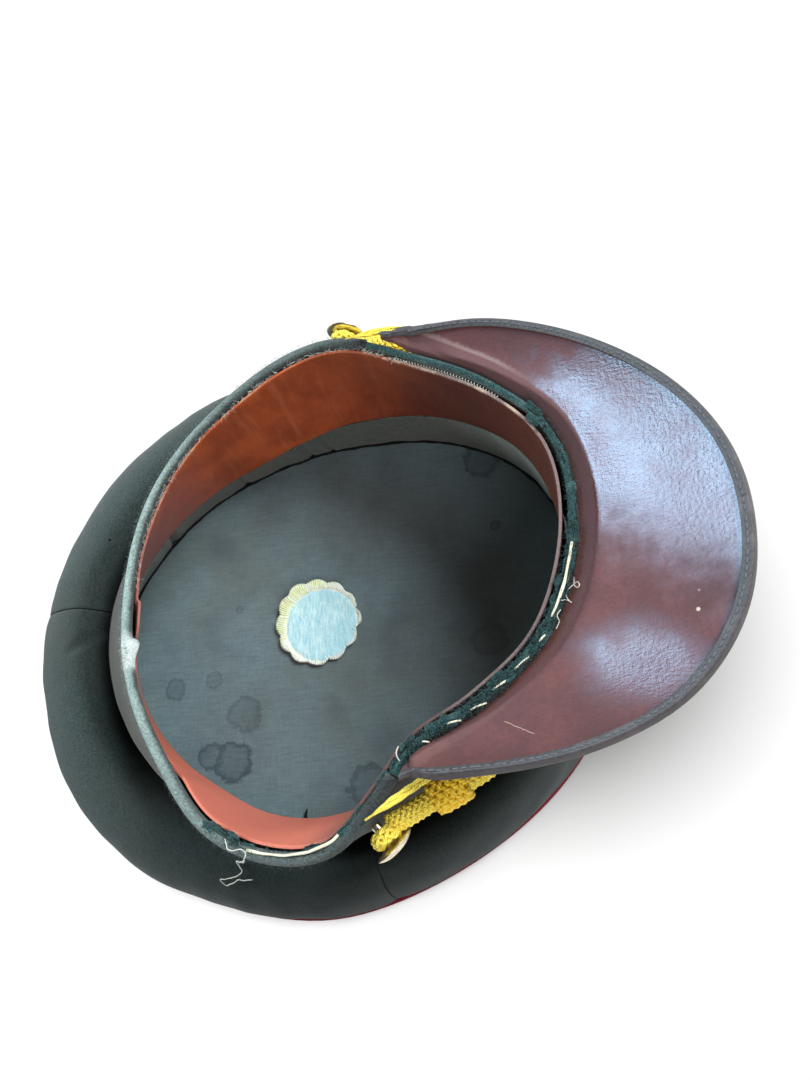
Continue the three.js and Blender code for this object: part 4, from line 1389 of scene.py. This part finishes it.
for hair in range(FLUFF_COUNT):
    turn = chance.uniform(*FLUFF_TURNS)
    start = rim_point(turn, FLUFF_OUT + chance.uniform(-FLUFF_SPREAD, FLUFF_SPREAD), FLUFF_UP)
    along = Vector((-outward(start).y, outward(start).x, 0)) * chance.choice((-1, 1))
    heading = along + raised(chance.uniform(-0.3, 0.7)) - outward(start) * chance.uniform(-0.2, 0.8)
    thread_runs.append(fibre(start, heading.normalized(), chance.uniform(0.001, 0.0032), 0.7, 0.00008))
dress(thread_mesh("loose_threads", thread_runs, 5), pale_thread, "torn_cloth")


# Floor, light and camera
# A plain pale floor with a light of its own, soft studio light on the cap from the front right, cool
# panels that the glossy peak mirrors, and a camera close above the opening.
bpy.ops.object.select_all(action="DESELECT")
bpy.ops.mesh.primitive_plane_add(size=6)
floor = bpy.context.object
floor.name = "floor"
pale_floor, place = new_finish("pale_floor", 0.1)
mottle = speckle(place, 0.2, 3.0)
surface(pale_floor, mottle, 0.0001, blend(mottle, (236, 236, 236), (246, 246, 246)),
        0.85 + mottle * 0.1)
floor.data.materials.append(pale_floor)


CAP_MIDDLE = (0.03, 0.0, 0.06)
wool_quarters = [bpy.data.objects[f"wool_{quarter}"] for quarter in QUARTER_CUTS]
mirrors = (peak_under, binding, edge_stitches)
# Columns: name, place, aim, size, power, colour, whether the pieces named last are lit alone or left out
LIGHTS = (
    ("key", (0.81, 0.51, 0.96), CAP_MIDDLE, 0.85, 27.0, (0.94, 1.0, 1.0), "EXCLUDE", floor),
    ("table_light", (0.03, 0.0, 2.2), (0.03, 0.0, 0.0), 1.6, 62.0, (1.0, 1.0, 1.0), "INCLUDE", floor),
    ("window", (-0.52, 0.36, 1.06), (0.13, 0.02, 0.1), 0.44, 8.6, (0.42, 0.72, 1.0), "INCLUDE", *mirrors),
    ("low_window", (-0.50, 0.61, 0.88), (0.13, -0.03, 0.1), 0.31, 2.9, (0.56, 0.72, 1.0), "INCLUDE",
     *mirrors),
    ("left_fill", (-1.12, 0.31, 0.59), CAP_MIDDLE, 0.6, 20.0, (0.86, 1.0, 1.0), "EXCLUDE",
     floor, peak_under, lining_disc),
    ("near_fill", (0.29, -0.96, 0.9), CAP_MIDDLE, 0.6, 8.0, (1.0, 0.96, 0.94), "EXCLUDE",
     floor, *wool_quarters),
)
for name, place, aim, size, power, colour, state, *pieces in LIGHTS:
    light = bpy.data.lights.new(name, "AREA")
    light.shape = "DISK"
    light.size = size
    light.energy = power
    light.color = colour
    lamp = bpy.data.objects.new(name, light)
    lamp.location = place
    lamp.rotation_euler = (Vector(aim) - Vector(place)).to_track_quat("-Z", "Y").to_euler()
    lamp.visible_diffuse = binding not in pieces
    bpy.context.collection.objects.link(lamp)
    receivers = bpy.data.collections.new(f"{name}_receivers")
    for piece in pieces:
        receivers.objects.link(piece)
    for receiver in receivers.collection_objects:
        receiver.light_linking.link_state = state
    lamp.light_linking.receiver_collection = receivers

bpy.context.scene.world = bpy.data.worlds.new("studio")
bpy.context.scene.world.use_nodes = True
sky = bpy.context.scene.world.node_tree.nodes["Background"]
sky.inputs["Color"].default_value = (0.93, 0.97, 1.0, 1.0)
sky.inputs["Strength"].default_value = 0.1
bpy.context.scene.view_settings.view_transform = "Standard"

CAMERA_TARGET = Vector((0.0375, 0.034, 0))
CAMERA_DISTANCE = 0.384
CAMERA_TILT = math.radians(24)
CAMERA_TURN = math.radians(27)
CAMERA_ROLL = math.radians(-31.5)
eye = bpy.data.cameras.new("eye")
eye.lens = 27.5
eye.sensor_width = 36
eye.clip_start = 0.01
camera = bpy.data.objects.new("camera", eye)
turned = (Matrix.Rotation(CAMERA_TURN, 4, "Z") @ Matrix.Rotation(CAMERA_TILT, 4, "X")
          @ Matrix.Rotation(CAMERA_ROLL, 4, "Z"))
away = Matrix.Translation((0, 0, CAMERA_DISTANCE))
camera.matrix_world = Matrix.Translation(CAMERA_TARGET) @ turned @ away
bpy.context.collection.objects.link(camera)
bpy.context.scene.camera = camera
